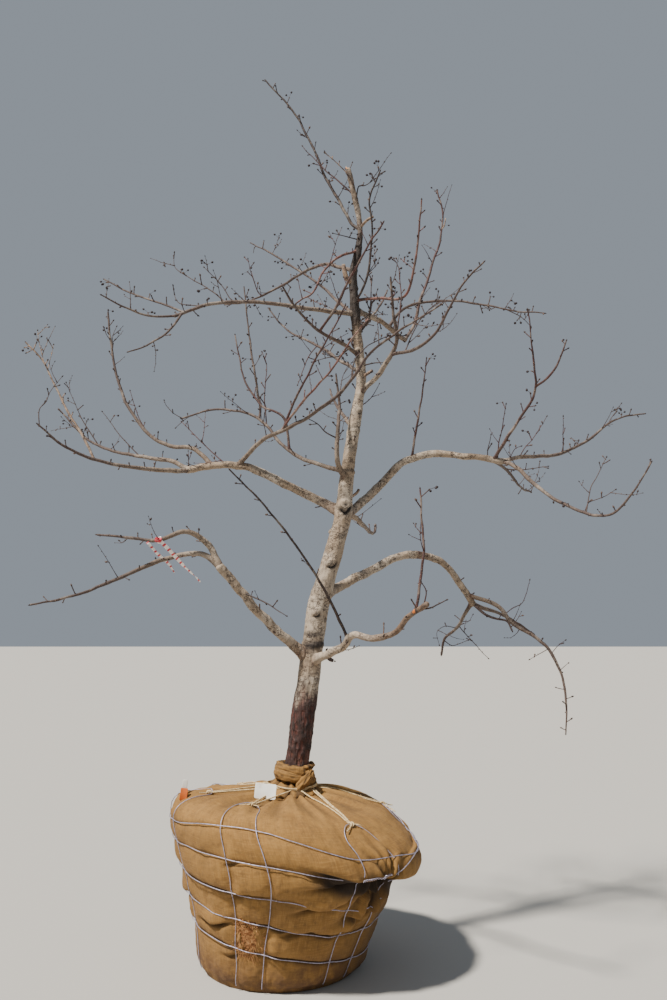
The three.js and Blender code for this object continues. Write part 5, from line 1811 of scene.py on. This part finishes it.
def make_marker(look):
    """The blank white marker strip that stands in the cloth, with its orange base."""
    white = plastic_finish("marker_white", look.card, paint(200, 192, 176))
    orange = plastic_finish("marker_orange", paint(208, 104, 40), paint(150, 84, 44))
    sheet(
        "blank_marker", size=(0.022, 0.108, 0.0011), cuts=(6, 30), curl=0.3, place=(-0.402, -0.06, 0.692),
        turns=[("Z", 12), ("Y", 8), ("X", 90)], materials=[white, orange], replaced=["blank_marker_tag"],
        band=0.014,
    )
    sheet(
        "marker_clasp", size=(0.03, 0.05, 0.0016), cuts=(10, 14), curl=0.7, place=(-0.4, -0.074, 0.69),
        turns=[("Z", 12), ("Y", 8), ("X", 78)], materials=[orange],
    )


# The marking tape's thickness, the width and turns of its band, and the width of its knots
TAPE_THICKNESS, TAPE_WIDTH, TAPE_TURNS, TAPE_KNOT_WIDTH = 0.0006, 0.015, 1.96, 0.012
# Each tail: its length, its lean in degrees, its width and how far along the limb it starts
TAPE_TAILS = [(0.225, 40, 0.015, 0.004), (0.15, 38, 0.012, -0.045)]


def ribbon(bundle, centres, across, wide, finish, ripple, seed):
    """A closed thin ribbon along centres, with a way across it at each. The seed is its ripple's."""
    centres = np.asarray(centres, float)
    across = np.broadcast_to(np.asarray(across, float), centres.shape)
    along, _, _ = frames_along(centres)
    flat = np.cross(along, across)
    flat /= np.linalg.norm(flat, axis=1)[:, None]
    share = np.linspace(-0.5, 0.5, 9)
    spots = np.stack(np.meshgrid(np.arange(len(centres)) * 0.16, share * 1.4, indexing="ij"), axis=-1)
    spots = np.concatenate([spots, np.zeros((*spots.shape[:2], 1)) + seed], axis=-1)
    wave = ripple * soft_noise(spots, 1.6, 500 + seed)
    middle = centres[:, None] + across[:, None] * (share * wide)[None, :, None]
    middle = middle + flat[:, None] * wave[..., None]
    half = flat[:, None] * TAPE_THICKNESS / 2
    rows = np.concatenate([middle + half, (middle - half)[:, ::-1]], axis=1)
    around = np.full(len(rows), 2 * wide)
    bundle.add_rings(rows, (centres[0], centres[-1]), around, gone_along(centres), finish)


def make_tape(limb, lower, look):
    """Marking tape tied round a bough: its band, knots and two tails that blow behind the bough below."""
    bundle = Bundle()
    centre, along, radius = limb.at(limb.length * look.tape_along)
    side = unit(np.cross(along, UP))
    up = np.cross(side, along)
    turn = np.linspace(0, 2 * math.pi * TAPE_TURNS, 90)
    grown = radius + 0.0022 + 0.0009 * turn / math.pi
    band = centre + (side * np.cos(turn)[:, None] + up * np.sin(turn)[:, None]) * grown[:, None]
    band = band + along * (0.003 * np.sin(turn * 0.5))[:, None]
    ribbon(bundle, band, along, TAPE_WIDTH, 0, 0.0014, 1)
    front = centre + np.array([0.0, -1.0, 0.0]) * (radius + 0.006)
    spin = np.linspace(0, 2 * math.pi, 26)
    for knot in range(2):
        loop = front + along * (0.009 * np.cos(spin))[:, None] + up * (0.008 * np.sin(spin))[:, None]
        loop = loop - np.array([0, 1, 0]) * (0.003 + 0.004 * np.sin(spin * 2 + knot))[:, None]
        ribbon(bundle, loop, unit(along + UP * (0.8 - knot)), TAPE_KNOT_WIDTH, 1, 0.001, 2 + knot)
    place = np.linspace(0, 1, 70)
    for number, (long, lean, wide, aside) in enumerate(TAPE_TAILS):
        drop = np.array([math.sin(math.radians(lean)), 0, -math.cos(math.radians(lean))])
        bend = (0.010 * np.sin(place * 8 + number * 2) + 0.008 * np.sin(place * 3.1 + number)) * place
        start = front + along * aside * (1 if along[0] > 0 else -1)
        path = start + drop * (place * long)[:, None] + np.array([0, -1, 0]) * (bend * 0.8)[:, None]
        path = path + np.cross(drop, [0, 1, 0]) * (0.5 * bend)[:, None]
        gaps = np.linalg.norm(path[:, None, ::2] - lower.points[None, :, ::2], axis=2)
        crossed, below = np.unravel_index(np.argmin(gaps), gaps.shape)
        clear = lower.points[below][1] + lower.radii[below] + 0.016 - path[crossed, 1]
        path[:, 1] += max(0.0, clear) * smoothstep(place, 0.0, max(0.2, place[crossed]))
        twist = 0.5 * np.sin(place * 6 + number) + 1.2 * place * (1 if number else -0.8)
        across = np.cross(drop, [0, 1, 0])[None, :] * np.cos(twist)[:, None]
        across = across + np.array([0, 1, 0])[None, :] * np.sin(twist)[:, None]
        ribbon(bundle, path, across, wide, 0, 0.002, 5 + number)
    finishes = [tape_finish(look), plastic_finish("tape_red", look.tape, paint(214, 120, 120))]
    bundle.piece("marking_tape_tails", finishes, "tape", ["marking_tape"])


# The settings


def colour(name, description, *levels):
    """A colour setting, given as it shows on a screen."""
    return FloatVectorProperty(
        name=name, description=description, subtype="COLOR", size=3, min=0, max=1, default=paint(*levels)
    )


def length(name, description, default):
    return FloatProperty(
        name=name, description=description, default=default, min=0, unit="LENGTH", precision=4
    )


def angle(name, description, degrees):
    return FloatProperty(name=name, description=description, default=math.radians(degrees), unit="ROTATION")


def number(name, description, default, least=0.0):
    return FloatProperty(name=name, description=description, default=default, min=least)


def whole_number(name, description, default, least=0):
    return IntProperty(name=name, description=description, default=default, min=least)


class BarkSettings(PropertyGroup):
    old_bark: colour("Old bark", "Sunlit grey bark of the boughs", 172, 157, 139)
    warm_bark: colour("Warm bark", "Tan patches of the old bark", 144, 125, 104)
    pale_bark: colour("Pale bark", "Palest streaks", 204, 191, 174)
    foot_bark: colour("Foot bark", "Rough reddish bark at the trunk's foot", 82, 40, 30)


class TwigSettings(PropertyGroup):
    seed: whole_number("Seed", "Seed of the branching rule", 7)
    bud_length: length("Bud length", "Length of a full bud", 0.0092)
    fruit_length: length("Fruit length", "Length of a dried fruit", 0.0105)
    fruiting: number("Fruiting", "Share of the top spurs that bear fruit", 0.23)
    crowd: number("Crowding", "How many spurs and shoots a limb bears", 1.0)


class BallSettings(PropertyGroup):
    cloth: colour("Cloth", "Jute of the wrapping", 132, 94, 42)
    worn_cloth: colour("Worn cloth", "Sun-bleached jute", 154, 113, 54)
    pale_cloth: colour("Pale threads", "Palest slubs of the jute", 168, 129, 70)
    stained_cloth: colour("Stained cloth", "Damp and soiled jute", 90, 64, 34)
    weave_scale: number("Weave scale", "Threads of the weave", 131.0, 1.0)
    weave_depth: number("Weave depth", "Strength of the weave's relief", 0.55)
    pillow_depth: length("Pillow depth", "How far the cloth swells between the wires", 0.026)
    cloth_columns: whole_number("Columns", "Corners round the cloth", 360, 24)
    cloth_rows: whole_number("Rows", "Corners up the cloth", 190, 12)
    fray_count: whole_number("Frays", "Loose threads at the torn patch", 420)
    fray_seed: whole_number("Fray seed", "Seed of the loose threads", 3)


class TrimSettings(PropertyGroup):
    wire: colour("Wire", "Galvanised wire of the basket", 178, 172, 190)
    wire_diameter: length("Wire diameter", "Thickness of the basket's wire", 0.0036)
    twine: colour("Twine", "Sisal twine", 230, 208, 164)
    twine_diameter: length("Twine diameter", "Thickness of the twine", 0.006)
    twine_seed: whole_number("Twine seed", "Seed of the twine's loose ends", 5)
    twine_fuzz: whole_number("Twine fuzz", "Loose fibres on the twine", 500)
    card: colour("Card", "Blank card and marker", 232, 230, 222)
    tape: colour("Tape", "Marking tape", 190, 40, 58)
    tape_along: number("Tape along", "Share of the limb below the tape", 0.57)


class StageSettings(PropertyGroup):
    camera_place: FloatVectorProperty(
        name="Camera place", description="Where the camera stands", unit="LENGTH", default=(0.22, -4.2, 1.56)
    )
    camera_rise: angle("Camera rise", "How far the camera looks up", 5.58)
    lens: number("Lens", "Focal length in millimetres", 35.0, 1.0)
    shift: FloatProperty(
        name="Shift", description="Picture shift that keeps the ball's foot in view", default=-0.012
    )
    floor: colour("Floor", "Pale floor", 172, 169, 163)
    sky: colour("Sky", "Soft light from all round", 214, 226, 240)
    sky_strength: number("Sky strength", "Strength of the soft light", 0.4)
    sun_bearing: angle("Sun bearing", "Where the key light stands", -146)
    sun_rise: angle("Sun rise", "How high the key light stands", 57)
    sun_strength: number("Sun strength", "Strength of the key light", 8.2)


SETTINGS = {
    "tree_bark": BarkSettings,
    "tree_twigs": TwigSettings,
    "tree_ball": BallSettings,
    "tree_trim": TrimSettings,
    "tree_stage": StageSettings,
}


# The operators


def bark_materials(look):
    """The bark for each colour of young wood."""
    kinds = ["grey", *sorted(set(YOUNG_KIND.values()))]
    return {kind: bpy.data.materials.get("bark_" + kind) or bark_finish(kind, look) for kind in kinds}


class TREE_OT_trunk(Operator):
    """Lay the bark over the trunk"""

    bl_idname = "tree.trunk"
    bl_label = "Trunk"

    def execute(self, context):
        make_trunk(bark_materials(context.scene.tree_bark))
        return {"FINISHED"}


class TREE_OT_limbs(Operator):
    """Lay the bark over every bough, fork and shoot of the frame"""

    bl_idname = "tree.limbs"
    bl_label = "Boughs"

    def execute(self, context):
        materials = bark_materials(context.scene.tree_bark)
        for number, (name, parent) in enumerate((n, p) for p, limbs in GROWS_ON.items() for n in limbs):
            make_limb(name, parent, materials, 17 * number + 5)
        return {"FINISHED"}


class TREE_OT_twigs(Operator):
    """Grow the shoots, spurs, buds and dried fruit on the limbs"""

    bl_idname = "tree.twigs"
    bl_label = "Twigs and buds"

    def execute(self, context):
        look = context.scene.tree_twigs
        sprays = Sprays(look)
        for line, kind, _ in tree_shoots():
            sprays.twig(line.points, line.radii, 10 if line.radii[0] > 0.004 else 8, kind)
            if kind != "cut":
                sprays.dress(line, kind, look.crowd * 1.1, 0.04)
                sprays.end_bud(line)
        for name, line in tree_lines().items():
            if name == "trunk":
                sprays.dress(line, "grey", look.crowd * 0.4, 1.25)
            else:
                sprays.dress(line, YOUNG_KIND.get(name, "grey"), look.crowd, 0.1)
                sprays.end_bud(line)
        sprays.wood.piece("twigs", [twig_finish(kind) for kind in TWIG_KINDS], "bark")
        sprays.buds.piece("buds", [bud_finish(kind) for kind in BUD_COLOURS], "bark")
        sprays.fruit.piece("dried_fruit", [fruit_finish()], "bark")
        return {"FINISHED"}


class TREE_OT_ball(Operator):
    """Wrap the root ball in its cloth, with the loose threads of the torn patch"""

    bl_idname = "tree.ball"
    bl_label = "Root ball"

    def execute(self, context):
        make_cloth(context.scene.tree_ball)
        make_frays(context.scene.tree_ball)
        return {"FINISHED"}


class TREE_OT_basket(Operator):
    """Bend the wire basket round the ball"""

    bl_idname = "tree.basket"
    bl_label = "Wire basket"

    def execute(self, context):
        make_basket(context.scene.tree_ball, context.scene.tree_trim)
        return {"FINISHED"}


class TREE_OT_collar(Operator):
    """Gather the cloth round the trunk's foot"""

    bl_idname = "tree.collar"
    bl_label = "Collar"

    def execute(self, context):
        make_collar(context.scene.tree_ball)
        return {"FINISHED"}


class TREE_OT_twine(Operator):
    """Tie the collar to the basket's loops with twine"""

    bl_idname = "tree.twine"
    bl_label = "Twine"

    def execute(self, context):
        make_twine(context.scene.tree_ball, context.scene.tree_trim)
        return {"FINISHED"}


class TREE_OT_tags(Operator):
    """Place the blank card, the marker and the marking tape"""

    bl_idname = "tree.tags"
    bl_label = "Tags and tape"

    def execute(self, context):
        look = context.scene.tree_trim
        make_card(look)
        make_marker(look)
        make_tape(tree_lines()["lower_left_upper_fork"], tree_lines()["lower_left_bough"], look)
        return {"FINISHED"}


class TREE_OT_stage(Operator):
    """Set up the floor, the soft light and the camera"""

    bl_idname = "tree.stage"
    bl_label = "Stage"

    def execute(self, context):
        look = context.scene.tree_stage
        deselect_all()
        bpy.ops.mesh.primitive_plane_add(size=40, location=(0, 0, -0.0005))
        floor = context.object
        floor.name = "floor"
        floor.data.materials.append(floor_finish(look))
        sun_way = Vector(direction_of(math.degrees(look.sun_bearing), math.degrees(look.sun_rise)))
        lights = []
        for name, kind, place, way, energy in (
            ("key_light", "SUN", sun_way * 8, sun_way, look.sun_strength),
            ("fill_light", "AREA", (3.4, -2.6, 3.6), Vector((3.4, -2.6, 2.2)), 5),
        ):
            bpy.ops.object.light_add(type=kind, location=place)
            lights.append(context.object)
            context.object.name = name
            context.object.rotation_euler = way.to_track_quat("Z", "Y").to_euler()
            context.object.data.energy = energy
        sun, fill = lights
        sun.data.angle = math.radians(5)
        sun.data.color = (1.0, 0.95, 0.87)
        fill.data.size = 3.0
        world = bpy.data.worlds.new("soft_sky")
        world.use_nodes = True
        sky = world.node_tree.nodes["Background"].inputs
        sky["Color"].default_value = (*look.sky, 1.0)
        sky["Strength"].default_value = look.sky_strength
        context.scene.world = world
        bpy.ops.object.camera_add(location=look.camera_place, rotation=(math.pi / 2 + look.camera_rise, 0, 0))
        camera = context.object
        camera.name = "photo_camera"
        camera.data.lens = look.lens
        camera.data.sensor_width = 36
        camera.data.shift_y = look.shift
        camera.data.clip_end = 200
        context.scene.camera = camera
        return {"FINISHED"}


OPERATORS = [
    TREE_OT_trunk, TREE_OT_limbs, TREE_OT_twigs, TREE_OT_ball, TREE_OT_basket, TREE_OT_collar, TREE_OT_twine,
    TREE_OT_tags, TREE_OT_stage,
]


class TREE_PT_panel(Panel):
    """The tree's pieces, one button each"""

    bl_idname = "TREE_PT_panel"
    bl_label = "Fruit tree"
    bl_space_type = "VIEW_3D"
    bl_region_type = "UI"
    bl_category = "Fruit tree"

    def draw(self, context):
        for operator in OPERATORS:
            self.layout.operator(operator.bl_idname)
        for settings, group in SETTINGS.items():
            box = self.layout.box()
            for name in group.__annotations__:
                box.prop(getattr(context.scene, settings), name)


def register():
    for item in [*SETTINGS.values(), *OPERATORS, TREE_PT_panel]:
        bpy.utils.register_class(item)
    for name, group in SETTINGS.items():
        setattr(bpy.types.Scene, name, PointerProperty(type=group))


def unregister():
    for name in SETTINGS:
        delattr(bpy.types.Scene, name)
    for item in reversed([*SETTINGS.values(), *OPERATORS, TREE_PT_panel]):
        bpy.utils.unregister_class(item)


def main():
    """Builds every piece in turn."""
    register()
    bpy.ops.tree.trunk()
    bpy.ops.tree.limbs()
    bpy.ops.tree.twigs()
    bpy.ops.tree.ball()
    bpy.ops.tree.basket()
    bpy.ops.tree.collar()
    bpy.ops.tree.twine()
    bpy.ops.tree.tags()
    bpy.ops.tree.stage()


if __name__ == "__main__":
    main()
